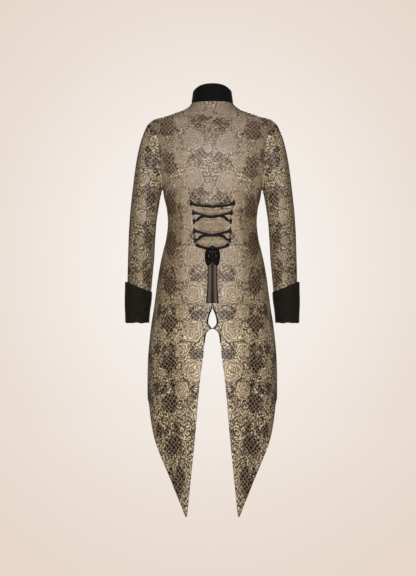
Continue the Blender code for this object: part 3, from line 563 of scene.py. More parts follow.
def stacked(*parts):
    """Arrays or numbers side by side, as one array of places."""
    return np.stack(np.broadcast_arrays(*parts), -1)


def facing(x):
    """What turns points of the wearer's right to the side on which x lies."""
    return stacked(np.where(x < 0, -1.0, 1.0), 1.0, 1.0)


def unit(vectors):
    """The vectors made 1 long."""
    return vectors / np.linalg.norm(vectors, axis=-1, keepdims=True)


def swell(away, reach):
    """A soft bell: 1 where away is 0, and nearly 0 past twice its reach."""
    return np.exp(-((away / reach) ** 2))


def fold_height(z, angle):
    """How far the skirt's long folds stand out here."""
    full = smooth_step(-z, -SKIRT_FOLDS_TOP, -SKIRT_FOLDS_FULL)
    return full * sum(fold.height * swell(angle - fold.degrees, fold.reach) for fold in SKIRT_FOLDS)


def body(z, angle):
    """Points of the torso's surface, with angles in degrees."""
    z, angle = np.broadcast_arrays(np.asarray(z, float), np.asarray(angle, float))
    half = curve(RINGS, "half", z)
    power = curve(RINGS, "power", z)
    sine = np.sin(np.radians(angle))
    cosine = np.cos(np.radians(angle))
    depth = np.where(cosine > 0, curve(RINGS, "back", z), curve(RINGS, "front", z))
    reach = (np.abs(sine) ** power + np.abs(cosine) ** power) ** (-1 / power)
    grown = 1.0 + fold_height(z, np.abs(angle)) / np.hypot(half * sine, depth * cosine) / reach
    return stacked(half * sine * reach * grown, -depth * cosine * reach * grown, z)


def body_normal(z, angle):
    """The direction out of the surface, from points a little to each side, above and below."""
    step = 0.0015
    turn = 0.8
    along = body(z, angle + turn) - body(z, angle - turn)
    up = body(z + step, angle) - body(z - step, angle)
    return unit(np.cross(along, up))


def angle_at_x(z, x, front=False):
    """The angle of the surface's point this far from the centre."""
    share = np.clip(x / curve(RINGS, "half", z), 0.0, 1.0)
    power = curve(RINGS, "power", z)
    other = np.maximum(0.0, 1 - share**power) ** (1 / power)
    angle = np.degrees(np.arctan2(share, other))
    return 180 - angle if front else angle


def angle_at_depth(z, depth, front=False):
    """The angle of the surface's point this far behind or before the side."""
    share = depth / curve(RINGS, "front" if front else "back", z)
    power = curve(RINGS, "power", z)
    other = np.maximum(0.0, 1 - share**power) ** (1 / power)
    angle = np.degrees(np.arctan2(other, share))
    return 180 - angle if front else angle


def degrees_for(z, angle, length):
    """The turn that moves a point of the surface by this length."""
    return length / np.linalg.norm(body(z, angle + 0.5) - body(z, angle - 0.5), axis=-1)


def armhole_angle(z, front=False):
    """The angle of the armhole's rear or front edge at a height."""
    share = np.clip((z - ARMHOLE_MIDDLE) / ARMHOLE_HALF_HEIGHT, -1.0, 1.0)
    depth = (ARMHOLE_FRONT if front else ARMHOLE_BACK) * np.sqrt(1 - share * share)
    return angle_at_depth(z, depth, front)


def neck_angle(z):
    """The angle of the front neck seam at a height between the shoulder and the centre front."""
    turn = -z / NECK_DROP * math.pi / 2
    return angle_at_x(z, curve(RINGS, "half", 0.0) * np.cos(turn), front=True)


def cut_angle(z):
    """The angle of the coat's lower edge: cut away at the front, then the tail's outer edge."""
    tail = angle_at_x(z, curve(TAIL_EDGE, "x", z))
    return np.where(z > TAIL_EDGE[0].z, curve(FRONT_CUT, "degrees", z), tail)


def outer_limit(z):
    """What bounds the back half at a height: shoulder seam, armhole, side seam or cut edge."""
    below = np.minimum(curve(SIDE_SEAM, "degrees", z), cut_angle(z))
    at_arm = (z < ARMHOLE_TOP) & (z > UNDERARM)
    return np.where(z >= ARMHOLE_TOP, 90.0, np.where(at_arm, armhole_angle(z), below))


def back_seam_angle(z):
    """The angle of the curved back seam, and above and below it of what bounds the back instead."""
    limit = outer_limit(z)
    seam = angle_at_x(z, curve(BACK_SEAM, "x", z))
    least = degrees_for(z, limit - 4, LEAST_WIDTH)
    return np.where((z <= BACK_SEAM[0].z) & (seam < limit - least), seam, limit)


def vent_angle(z):
    """The angle of the back's inner edge: the centre seam, then the vent."""
    return np.where(z > VENT_EDGE[0].z, 0.0, angle_at_x(z, curve(VENT_EDGE, "x", z)))


def front_start(z):
    """The front's rear edge: shoulder seam, armhole, side seam."""
    at_arm = (z < ARMHOLE_TOP - 1e-9) & (z > UNDERARM)
    below = curve(SIDE_SEAM, "degrees", z)
    return np.where(z >= ARMHOLE_TOP - 1e-9, 90.0, np.where(at_arm, armhole_angle(z, front=True), below))


def front_edge(z):
    """The front's edge: neck seam, then the lapped centre front, then the cut edge."""
    lap = 180 + degrees_for(z, 180.0, LAP)
    edge = np.where(z > COAT_WAIST, lap, np.minimum(lap, cut_angle(z)))
    return np.where(z >= SHOULDER_TIP, 90.0, np.where(z > -NECK_DROP - 1e-4, neck_angle(z), edge))


def crease_height(creases, across, up, stretch=1.0):
    """What the creases add at these places. The first coordinate may be an angle, with its stretch."""
    total = np.zeros(np.broadcast(across, up).shape)
    for crease in creases:
        run_x = (crease.end_x - crease.x) * stretch
        run_z = crease.end_z - crease.z
        off_x = (across - crease.x) * stretch
        off_z = up - crease.z
        t = np.clip((off_x * run_x + off_z * run_z) / (run_x**2 + run_z**2), 0.0, 1.0)
        away = np.hypot(off_x - t * run_x, off_z - t * run_z)
        total += crease.height * swell(away, crease.width) * (0.2 + 0.8 * np.sin(math.pi * t))
    return total


# Each cloth piece as it is cut, without seam allowance: metres, square metres, and what it is sewn to
Sheet = namedtuple("Sheet", "width length area hangs_from")
SHEETS = {
    "back": Sheet(0.250, 1.335, 0.158, ()),
    "side": Sheet(0.250, 0.915, 0.111, ("back_{0}", "front_{0}")),
    "front": Sheet(0.405, 0.935, 0.143, ("back_{0}",)),
    "sleeve_top": Sheet(0.340, 0.640, 0.122, ("back_{0}", "front_{0}")),
    "sleeve_under": Sheet(0.122, 0.478, 0.046, ("side_{0}", "back_{0}")),
    "cuff": Sheet(0.280, 0.134, 0.033, ("sleeve_top_{0}", "sleeve_under_{0}")),
    "collar": Sheet(0.437, 0.100, 0.020, ("back_left", "back_right", "front_left", "front_right")),
    "vent_binding": Sheet(0.012, 0.114, 0.0013, ("back_{0}",)),
}


def collection():
    """The collection that holds the made pieces."""
    name = "tailcoat cloth"
    if name not in bpy.data.collections:
        bpy.context.scene.collection.children.link(bpy.data.collections.new(name))
    return bpy.data.collections[name]


def linked(name, data):
    """A new object in the coat's collection."""
    made = bpy.data.objects.new(name, data)
    collection().objects.link(made)
    return made


def finish_piece(name, mesh, looks):
    """Gives a mesh its looks, links it, lets it ride on the coat and stand for the frame's own piece."""
    for look in looks:
        mesh.materials.append(look)
    mesh.shade_smooth()
    mesh.set_sharp_from_angle(angle=math.radians(SHARP_FROM))
    piece = linked(name, mesh)
    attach(piece, "root")
    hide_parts(name)
    return piece


def shell(name, outer, inner, cut, looks, side=1, closed=False):
    """A thin closed wall between two grids, with the flat cut as its map and its reverse inside.

    The grids are drawn for the wearer's right, and side -1 turns them to the left.
    """
    rows, across = outer.shape[:2]
    count = rows * across
    points = np.concatenate([outer.reshape(-1, 3), inner.reshape(-1, 3)]) * [side, 1, 1]
    last = across if closed else across - 1
    i, j = np.meshgrid(np.arange(rows - 1) * across, np.arange(last), indexing="ij")
    k = (j + 1) % across
    face = np.stack([i + j, i + k, i + across + k, i + across + j], -1).reshape(-1, 4)
    j, k = (j[0], k[0])
    rims = [first + np.stack([j, k, count + k, count + j], -1) for first in (0, count - across)]
    if not closed:
        i = i[:, 0]
        rims += [first + np.stack([i, i + across, count + i + across, count + i], -1) for first in (0, last)]
    faces = np.concatenate([face, face[:, ::-1] + count, *rims])
    mesh = bpy.data.meshes.new(name)
    mesh.from_pydata(points.tolist(), [], faces.tolist())
    places = np.concatenate([cut.reshape(-1, 2), cut.reshape(-1, 2)])
    corners = np.empty(len(mesh.loops), np.int32)
    mesh.loops.foreach_get("vertex_index", corners)
    flat = mesh.uv_layers.new(name="cut")
    flat.data.foreach_set("uv", places[corners].astype(np.float32).ravel())
    reverse = np.zeros(len(faces), np.int32)
    if len(looks) > 1:
        reverse[len(face) : 2 * len(face)] = 1
    mesh.polygons.foreach_set("material_index", reverse)
    turned = bmesh.new()
    turned.from_mesh(mesh)
    bmesh.ops.recalc_face_normals(turned, faces=turned.faces)
    turned.to_mesh(mesh)
    turned.free()
    piece = finish_piece(name, mesh, looks)
    return piece


def flat_cut(points, width_start, row_start):
    """The cut's flat coordinates of a grid: u along each row, v down each column, without stretch."""
    steps = np.linalg.norm(np.diff(points, axis=1), axis=-1)
    u = np.concatenate([np.zeros((len(points), 1)), np.cumsum(steps, axis=1)], axis=1) + width_start[:, None]
    drop = np.linalg.norm(np.diff(points, axis=0), axis=-1) ** 2 - np.diff(u, axis=0) ** 2
    least = (0.55 * np.abs(np.diff(points[..., 2], axis=0))) ** 2
    down = np.sqrt(np.maximum(drop, least))
    v = np.concatenate([np.zeros((1, points.shape[1])), np.cumsum(down, axis=0)])
    v = v - v[row_start] - points[row_start, 0, 2]
    return stacked(u, v)


def spaced(width, count):
    """Places across each row, closer together near both seams, for rows of these widths."""
    near = np.array([0.0, 0.0007, 0.0018, 0.0036]) * np.minimum(1.0, width / 0.016)[:, None]
    inside = np.linspace(0, 1, count)[1:-1][None, :]
    start = near[:, -1:]
    middle = start + (width[:, None] - 2 * start) * inside
    return np.concatenate([near, middle, width[:, None] - near[:, ::-1]], axis=1)


def level_rows(top, bottom, step):
    """Heights from top to bottom, evenly spaced by about a step."""
    return np.linspace(top, bottom, max(2, round((top - bottom) / step) + 1))


def torso_rows(step):
    """Row heights, closer together at the shoulder, at the ends of the armhole and beside the vent."""
    turns = np.radians(np.arange(0, 181, 3))
    parts = [
        level_rows(0.0, ARMHOLE_TOP, 0.003),
        ARMHOLE_MIDDLE + ARMHOLE_HALF_HEIGHT * np.cos(turns),
        level_rows(UNDERARM, LACING_TOP, step),
        level_rows(LACING_TOP, LACING_END, FINE_ROW),
        level_rows(LACING_END, VENT_EDGE[0].z, step),
        level_rows(VENT_EDGE[0].z, VENT_CURVES_END, VENT_ROW),
        level_rows(VENT_CURVES_END, TAIL_TIP, step),
    ]
    rows = np.unique(np.round(np.concatenate(parts), 6))[::-1]
    rows = rows[(rows < 1e-9) & (rows > TAIL_TIP - 1e-9)]
    keep = np.concatenate([[True], np.diff(rows) < -0.00005])
    return rows[keep]


def torso_panel(name, side, rows, left, right, columns, fades, lift=None):
    """A cloth panel over the torso between two seams. Side 1 is the wearer's right, -1 the left."""
    start = left(rows)
    end = right(rows)
    start = start + degrees_for(rows, start, STITCH / 2)
    end = end - degrees_for(rows, end, STITCH / 2)
    end = np.maximum(end, start + degrees_for(rows, start, LEAST_WIDTH))
    middle = (start + end) / 2
    width = (end - start) / degrees_for(rows, middle, 1.0)
    places = spaced(width, columns)
    angle = start[:, None] + (end - start)[:, None] * places / width[:, None]
    z = np.broadcast_to(rows[:, None], angle.shape)
    base = body(z, angle)
    out = body_normal(z, angle)
    behind, before = (crease_height(c, base[..., 0] * side, z) for c in (BACK_CREASES, FRONT_CREASES))
    rise = np.where(angle < 90, behind, before)
    other = width[:, None] - places
    edge = np.minimum(places, other)
    # Creases run on across the back's seams, and die out at the armhole, neck and open edges
    calm = np.minimum(np.where(fades[0], places, 1.0), np.where(fades[1], other, 1.0))
    calm = np.minimum(calm, np.minimum(rows[0] - z, z - rows[-1]))
    rise = rise * smooth_step(calm, 0.0, CREASE_FADE)
    # Each seam lies in a groove that stops short of the armhole, where it would leave a hole
    at_arm = ((rows < ARMHOLE_TOP + 1e-6) & (rows > UNDERARM - 1e-6))[:, None]
    to_arm, to_seam = (places, other) if left is front_start else (other, places)
    beside = smooth_step(np.where(at_arm, to_arm, 1.0), 0.0, 0.004)
    rise = rise - GROOVE_DEPTH * swell(np.where(at_arm, to_seam, edge), GROOVE_WIDTH) * beside
    puckers = np.sin(z * 2 * math.pi / PUCKER_SPACING + 3 * np.sin(z * 90))
    rise = rise + PUCKER_HEIGHT * swell(edge - PUCKER_FROM_SEAM, PUCKER_REACH) * puckers
    outer = base + out * rise[..., None]
    if lift is not None:
        level = unit(out * [1, 1, 0])
        outer = outer + level * lift(angle)[..., None]
    inner = outer - out * CLOTH
    cut = flat_cut(base, girth_to(rows, start), int(np.argmin(np.abs(rows - LACING_TOP))))
    looks = [look_named("woven brocade"), look_named("brocade reverse")]
    return shell(name, outer, inner, back_figure(cut, z, side), looks, side)


def girth_to(rows, angle):
    """The length round the girth from the centre back to an angle, at each row."""
    turns = angle[:, None] * np.linspace(0, 1, 61)[None, :]
    points = body(np.broadcast_to(rows[:, None], turns.shape), turns)
    return np.linalg.norm(np.diff(points, axis=1), axis=-1).sum(axis=1)


def armhole_point(phi):
    """The armhole's point, with phi 0 at the shoulder, 90 at the back and 180 under the arm."""
    turn = np.radians(phi)
    z = np.clip(ARMHOLE_MIDDLE + ARMHOLE_HALF_HEIGHT * np.cos(turn), UNDERARM, ARMHOLE_TOP)
    angle = np.where(np.sin(turn) < 0, armhole_angle(z, front=True), armhole_angle(z))
    return body(z, angle)


def sleeve_start(phi):
    """The direction in which the sleeve leaves the armhole."""
    turn = np.radians(phi)
    top = np.maximum(0.0, np.cos(turn))
    under = np.maximum(0.0, -np.cos(turn))
    return unit(stacked(0.80, -0.40 * np.sin(turn), -0.52 - 0.10 * top - 0.70 * under))


def arm_ring(z, phi, grow=0.0):
    """Points round the arm at a height, moved out by a length."""
    outer = curve(SLEEVE_RINGS, "outer", z) + grow
    inner = curve(SLEEVE_RINGS, "inner", z) - grow
    middle = curve(SLEEVE_RINGS, "middle", z)
    depth = curve(SLEEVE_RINGS, "depth", z) + grow
    turn = np.radians(phi)
    x = (outer + inner) / 2 + (outer - inner) / 2 * np.cos(turn)
    return stacked(x, middle - depth * np.sin(turn), z)


def cap_point(phi, w):
    """The sleeve's head, from the armhole at w 0 to the arm's first ring at w 1."""
    top, second = (SLEEVE_RINGS[0].z, SLEEVE_RINGS[1].z)
    start = armhole_point(phi)
    end = arm_ring(np.full(phi.shape, top), phi)
    span = np.linalg.norm(end - start, axis=-1, keepdims=True)
    away = sleeve_start(phi) * span * 0.60
    arrive = unit(arm_ring(np.full(phi.shape, second), phi) - end) * span * 1.12
    w = w[..., None]
    return (
        start * ((1 + 2 * w) * (1 - w) ** 2)
        + away * (w * (1 - w) ** 2)
        + end * (w * w * (3 - 2 * w))
        + arrive * (w * w * (w - 1))
    )


def sleeve_point(phi, s):
    """A sleeve's surface: s from 0 to 1 is its head, and below 0 is a height down the arm."""
    z = np.minimum(s, SLEEVE_RINGS[0].z)
    w = np.clip(s, 0.0, 1.0)
    return np.where((s >= 0)[..., None], cap_point(phi, w), arm_ring(z, phi))


def sleeve_piece(name, side, first, last, step):
    """One of a sleeve's two pieces, between two seams that run down the arm."""
    nudge = math.degrees(STITCH / 2 / ARM_RADIUS)
    phis = np.linspace(first + nudge, last - nudge, round((last - first) / 4.5) + 1)
    # Two more columns beside each seam hold its groove
    near = math.degrees(GROOVE_WIDTH / 2 / ARM_RADIUS)
    beside = [phis[0] + near, phis[0] + 3 * near, phis[-1] - 3 * near, phis[-1] - near]
    phis = np.unique(np.concatenate([phis, beside]))
    # Rows crowd where the head leaves the armhole
    head = np.concatenate([[0.0, 0.006, 0.018], np.linspace(0, 1, 34)[1:]])
    arm = level_rows(SLEEVE_RINGS[0].z, SLEEVE_RINGS[-1].z, step)[1:]
    phi, s = np.meshgrid(phis, np.concatenate([head, arm]))
    base = sleeve_point(phi, s)
    base[0] += sleeve_start(phi[0]) * STITCH / 2
    out = unit(np.cross(np.gradient(base, axis=0), np.gradient(base, axis=1)))
    middle = stacked(ARM_MIDDLE, 0.0, base[..., 2])
    out = out * np.sign(np.sum((out * (base - middle))[len(head) :]))
    degree = math.radians(ARM_RADIUS)
    rise = crease_height(SLEEVE_CREASES, phi, base[..., 2], stretch=degree)
    from_seam = np.minimum(phi - phis[0], phis[-1] - phi) * degree
    steps = np.linalg.norm(np.diff(base[:, len(phis) // 2], axis=0), axis=-1)
    from_top = np.broadcast_to(np.concatenate([[0.0], np.cumsum(steps)])[:, None], phi.shape)
    to_cuff = np.clip((base[..., 2] - CUFF_TOP - CUFF_SLANT) / SLEEVE_FADE, 0.0, 1.0)
    rise = rise * smooth_step(from_top, 0.0, SLEEVE_FADE) * to_cuff * smooth_step(from_seam, 0.0, 0.006)
    # The head is eased in: a soft roll over the shoulder, then a tuck where it meets the armhole
    height, place, reach = HEAD_ROLL
    rolled = swell(from_top - place, reach) * np.maximum(0, np.cos(np.radians(phi)))
    rise = rise + height * rolled * to_cuff
    depth, wide = SLEEVE_GROOVE
    rise = rise - depth * swell(from_seam, wide) * smooth_step(from_top, 0.0, 0.004)
    depth, behind, place, reach = HEAD_TUCK
    tuck = depth + behind * np.maximum(0.0, np.sin(np.radians(phi - 35)))
    rise = rise - tuck * swell(from_top - place, reach)
    outer = base + out * rise[..., None]
    looks = [look_named("woven brocade sleeve"), look_named("brocade reverse")]
    return shell(name, outer, outer - out * CLOTH, sleeve_figure(base), looks, side)


def neck_loop(degrees):
    """The neck seam: level across the back, dropping to the centre front."""
    z = -NECK_DROP * np.maximum(0.0, degrees - 90) / 90
    behind = body(np.zeros(degrees.shape), np.minimum(degrees, 90))
    return np.where((degrees <= 90)[..., None], behind, body(z, neck_angle(z)))


def set_inputs(made, inputs):
    """Links a node's inputs to other nodes, or sets their values."""
    for key, value in inputs.items():
        if isinstance(value, bpy.types.NodeSocket):
            made.id_data.links.new(value, made.inputs[key])
        else:
            made.inputs[key].default_value = value


def add(tree, kind, *values, out=0, **settings):
    """Adds a node with its settings, links or sets its inputs, and gives one of its outputs.

    A kind may carry its operation after a point. The values come in the inputs' order, or by their names.
    """
    kind, _, operation = kind.partition(".")
    made = tree.nodes.new("ShaderNode" + kind)
    if operation:
        made.operation = operation
    for key, value in settings.items():
        setattr(made, key, value)
    named = bool(values) and isinstance(values[0], dict)
    set_inputs(made, values[0] if named else dict(enumerate(values)))
    return made.outputs[out]


# Settings that many nodes share: a soft ramp, a flat pattern, and a mix of two colours
SOFT = {"interpolation_type": "SMOOTHSTEP"}
FLAT = {"noise_dimensions": "2D"}
COLOURS = {"data_type": "RGBA", "out": 2}

# The brocade's repeat, in millimetres from its corner: centre, half width, half height and tilt in degrees
Motif = namedtuple("Motif", "u v wide tall tilt")
BODY_ROSES = [
    Motif(61, 0, 35, 35, 0),
    Motif(98, 56, 24, 24, 0),
    Motif(172, 2, 19, 19, 0),
    Motif(199, 90, 16, 16, 0),
    Motif(14, 30, 14, 14, 0),
    Motif(112, 18, 13, 13, 0),
]
# Above the waist the net patches stand higher between the roses than on the skirt
UPPER_NETS = [
    Motif(26, 46, 25, 14, -6),
    Motif(60, 56, 10, 11, 30),
    Motif(44, 74, 8, 12, 20),
    Motif(146, 68, 24, 28, 14),
    Motif(128, 94, 10, 12, 30),
    Motif(144, -30, 34, 20, -16),
    Motif(190, 40, 14, 18, 0),
]
SKIRT_NETS = [
    Motif(40, 72, 27, 13, -12),
    Motif(66, 56, 8, 13, 40),
    Motif(8, 84, 10, 12, 0),
    Motif(143, 91, 29, 31, 8),
    Motif(124, 51, 9, 24, -34),
    Motif(162, 50, 8, 16, 30),
    Motif(192, 45, 14, 19, 12),
]
SLEEVE_ROSES = [
    Motif(24, 61, 20, 20, 0),
    Motif(30, 8, 14, 15, 0),
    Motif(70, 30, 16, 16, 0),
    Motif(-42, 50, 17, 17, 0),
]
SLEEVE_NETS = [
    Motif(-3, 0, 20, 24, 8),
    Motif(10, -36, 11, 15, -24),
    Motif(-16, 30, 8, 9, 0),
    Motif(86, -16, 10, 14, 20),
    Motif(-80, 10, 16, 20, 0),
]
# Down the back, in millimetres: where the skirt's nets take over, and where no more large roses fit
NETS_CHANGE = 330.0
LAST_ROSES = 800.0
# The cloth under the laces, in millimetres: height of its middle, half width and half height
PULLED = namedtuple("Pulled", "middle wide tall")(278.0, 57.0, 74.0)
# The darker stripes, partly woven and partly painted shade over the coat's sides, in millimetres: middle and
# half width, and how softly they end
SHADED_STRIPE = (150.0, 52.0)
SLEEVE_STRIPE = (-106.0, 66.0)
STRIPE_EDGE = 9.0
# Sizes of the weave, in millimetres: between a spiral's ridges, across a scroll, and across the net's mesh
RIDGES = 9.0
SCROLL = 19.0
MESH = 15.0


def brocade_figure(node, cut, cloth, on_sleeve):
    """The woven figure over the flat cut: net, its cord, line, valley, dark gap, rose, stripe and lowness."""
    # Work in millimetres of cloth
    straight = node("VectorMath.SCALE", {0: cut, "Scale": 1000.0})
    drift = node("TexNoise", {"Vector": straight, "Scale": 0.055, "Detail": 1.0}, out="Color", **FLAT)
    drift = node("VectorMath.SUBTRACT", drift, (0.5, 0.5, 0.5))
    flat = node("VectorMath.MULTIPLY_ADD", drift, (10.0, 10.0, 0.0), straight)
    half = (cloth.repeat_width * 500, cloth.repeat_height * 500, 1.0)
    less = tuple(-v for v in half)

    def about(u, v, place=flat):
        """The place seen from the nearest repeat of a point."""
        return node("VectorMath.WRAP", node("VectorMath.SUBTRACT", place, (u, v, 0.0)), half, less)

    # Roses: the place and the size of whichever rose is near
    place = flat
    size = 1.0
    near_rose = 0.0
    for motif in SLEEVE_ROSES if on_sleeve else BODY_ROSES:
        seen = about(motif.u, motif.v)
        within = node("VectorMath.LENGTH", seen, out="Value")
        within = node("Math.LESS_THAN", within, motif.wide * 1.14)
        place = node("Mix", {0: within, 4: place, 5: seen}, data_type="VECTOR", out=1)
        size = node("Mix", {0: within, 2: size, 3: float(motif.wide)})
        near_rose = node("Math.MAXIMUM", near_rose, within)
    away = node("VectorMath.LENGTH", place, out="Value")
    parts = node("SeparateXYZ", place).node.outputs
    turn = node("Math.ARCTAN2", parts["Y"], parts["X"])
    # Six outer petals make the edge scalloped, and inside, narrow petals wind to the middle
    petals = node("Math.SINE", node("Math.MULTIPLY", turn, 6.0))
    rim = node("Math.MULTIPLY_ADD", petals, 0.05, node("Math.DIVIDE", away, size))
    rose = node("Math.MULTIPLY", node("MapRange", rim, 1.02, 0.98, **SOFT), near_rose)
    down = node("SeparateXYZ", straight, out="Y")
    if not on_sleeve:
        rose = node("Math.MULTIPLY", rose, node("Math.LESS_THAN", down, LAST_ROSES))
    wander = node("TexNoise", {"Vector": flat, "Scale": 0.11, "Detail": 2.0}, **FLAT)
    speck = node("TexNoise", {"Vector": flat, "Scale": 0.15, "Detail": 2.0}, **FLAT)

    def winding(reach, angle, hand, start):
        """A spiral's wave, from 0 in its grooves to 0.5 on its ridges."""
        ring = node("Math.MULTIPLY_ADD", node("Math.MULTIPLY", angle, hand), 1 / (2 * math.pi), start)
        ring = node("Math.MULTIPLY_ADD", reach, 1 / RIDGES, ring)
        return node("Math.PINGPONG", node("Math.MULTIPLY_ADD", wander, 1.5, ring), 0.5)

    lobes = node("Math.MULTIPLY_ADD", turn, 5.0, node("Math.DIVIDE", away, 5.0))
    lobes = node("Math.MULTIPLY", node("Math.SINE", lobes), 0.22)
    rose_wave = winding(away, turn, 1.0, lobes)
    outline = node("Math.MULTIPLY", node("MapRange", rim, 1.13, 1.07, **SOFT), near_rose)
    outline = node("Math.MULTIPLY", node("MapRange", rim, 1.0, 1.05, **SOFT), outline)
    # Between them are scrolls, each a small volute that winds to one hand or the other
    cell = {"Vector": flat, "Scale": 1 / SCROLL, "Randomness": 1.0}
    cells = node("TexVoronoi", cell, voronoi_dimensions="2D").node.outputs
    shade = node("SeparateColor", cells["Color"])
    hand = node("Math.MULTIPLY_ADD", node("Math.GREATER_THAN", shade, 0.5), 2.0, -1.0)
    off = node("VectorMath.SUBTRACT", flat, cells["Position"])
    parts = node("SeparateXYZ", off).node.outputs
    round_cell = node("Math.ARCTAN2", parts["Y"], parts["X"])
    off = node("VectorMath.LENGTH", off, out="Value")
    scroll_wave = winding(off, round_cell, hand, node("Math.MULTIPLY", shade, 3.0))
    beyond = node("Math.SUBTRACT", 1.0, rose)
    wave = node("Mix", {0: rose, 2: scroll_wave, 3: rose_wave})
    line = node("MapRange", wave, 0.30, 0.43, **SOFT)
    valley = node("MapRange", wave, 0.20, 0.07, **SOFT)
    # Dark specks of the ground show in the grooves, round the roses and where two scrolls meet
    specks = node("MapRange", speck, 0.47, 0.56, **SOFT)
    groove = node("Math.MULTIPLY", node("MapRange", wave, 0.17, 0.05, **SOFT), specks)
    groove = node("Math.MULTIPLY", groove, node("MapRange", rose, 0.0, 1.0, 1.0, 0.25, **SOFT))
    meeting = node("TexVoronoi", cell, voronoi_dimensions="2D", feature="DISTANCE_TO_EDGE")
    specks = node("MapRange", speck, 0.42, 0.52, **SOFT)
    between = node("Math.MULTIPLY", node("MapRange", meeting, 0.10, 0.03, **SOFT), specks)
    specks = node("MapRange", speck, 0.40, 0.52, **SOFT)
    between = node("Math.MAXIMUM", between, node("Math.MULTIPLY", outline, specks))
    gap = node("Math.MAXIMUM", groove, node("Math.MULTIPLY", between, beyond))
    # The patches of net have ragged edges
    least = partial(node, "Math.MINIMUM")
    nearest = []
    regions = [(UPPER_NETS, "Math.GREATER_THAN"), (SKIRT_NETS, "Math.LESS_THAN")]
    for motifs, kept_out in [(SLEEVE_NETS, None)] if on_sleeve else regions:
        found = []
        for motif in motifs:
            turned = {"Vector": about(motif.u, motif.v), "Angle": math.radians(motif.tilt)}
            seen = node("VectorRotate", turned, rotation_type="Z_AXIS")
            seen = node("VectorMath.MULTIPLY", seen, (1 / motif.wide, 1 / motif.tall, 0.0))
            found.append(node("VectorMath.LENGTH", seen, out="Value"))
        nearest.append(reduce(least, found))
        if kept_out:
            # Outside its own stretch of cloth a region's patches are moved far off
            off = node(kept_out, down, NETS_CHANGE)
            nearest[-1] = node("Math.MULTIPLY_ADD", off, 9.0, nearest[-1])
    ragged = node("TexNoise", {"Vector": flat, "Scale": 0.09, "Detail": 2.0}, **FLAT)
    ragged = node("MapRange", ragged, 0.25, 0.75, -0.30, 0.30, **SOFT)
    net = node("Math.ADD", reduce(least, nearest), ragged)
    net = node("Math.MULTIPLY", node("MapRange", net, 1.04, 0.96, **SOFT), beyond)
    # Their mesh is a diamond one, of cords 2.5 mm wide
    cords = []
    for sign in (1.0, -1.0):
        slope = node("VectorMath.DOT_PRODUCT", flat, (1 / MESH, sign / MESH, 0.0), out="Value")
        cords.append(node("MapRange", node("Math.PINGPONG", slope, 0.5), 0.14, 0.08, **SOFT))
    cord = node("Math.MAXIMUM", *cords)
    # Darker stripes over the sides of the back and skirt and down the sleeves: partly painted shade
    middle, reach = SLEEVE_STRIPE if on_sleeve else SHADED_STRIPE
    shaded_stripe = node("Math.ABSOLUTE", node("SeparateXYZ", about(middle, 0.0, straight), out="X"))
    shaded_stripe = node("MapRange", shaded_stripe, reach + STRIPE_EDGE, reach - STRIPE_EDGE, **SOFT)
    # Toward the tips of the tails the dark ground shows more, and the lines are brighter against it; the
    # paler, softer figure higher up is painted sheen
    low = 0.75 if on_sleeve else node("MapRange", down, 250.0, 700.0, **SOFT)
    if not on_sleeve:
        shaded_stripe = node("Math.MULTIPLY", shaded_stripe, node("MapRange", down, 110.0, 230.0, **SOFT))
        # Between the laces the cloth is pulled smooth, and its figure hardly shows
        sideways = node("Math.ABSOLUTE", node("SeparateXYZ", straight, out="X"))
        off = node("Math.ABSOLUTE", node("Math.SUBTRACT", down, PULLED.middle))
        off = node("MapRange", off, PULLED.tall, PULLED.tall - 14, **SOFT)
        calm = node("MapRange", sideways, PULLED.wide, PULLED.wide - 10, **SOFT)
        calm = node("Math.MULTIPLY_ADD", node("Math.MULTIPLY", calm, off), -0.62, 1.0)
        line, valley, gap, net = (node("Math.MULTIPLY", part, calm) for part in (line, valley, gap, net))
    # Higher up, painted sheen hides some of the dark specks
    gap = node("Math.MULTIPLY", gap, node("MapRange", low, 0.0, 1.0, 0.62, 1.0))
    if not on_sleeve:
        # Painted shadow: a dark line down the centre seam from the bow to the vent
        seam = node("MapRange", sideways, 3.4, 1.0, **SOFT)
        seam = node("Math.MULTIPLY", seam, node("MapRange", down, 360.0, 400.0, **SOFT))
        gap = node("Math.MAXIMUM", gap, seam)
        net = node("Math.SUBTRACT", net, node("Math.MULTIPLY", net, seam))
    return net, cord, line, valley, gap, rose, shaded_stripe, low


def new_look(name):
    """A new material's shader, the function that adds nodes beside it, and the map of the flat cut."""
    look = bpy.data.materials.new(name)
    look.use_nodes = True
    node = partial(add, look.node_tree)
    return look.node_tree.nodes["Principled BSDF"], node, node("UVMap", uv_map="cut")


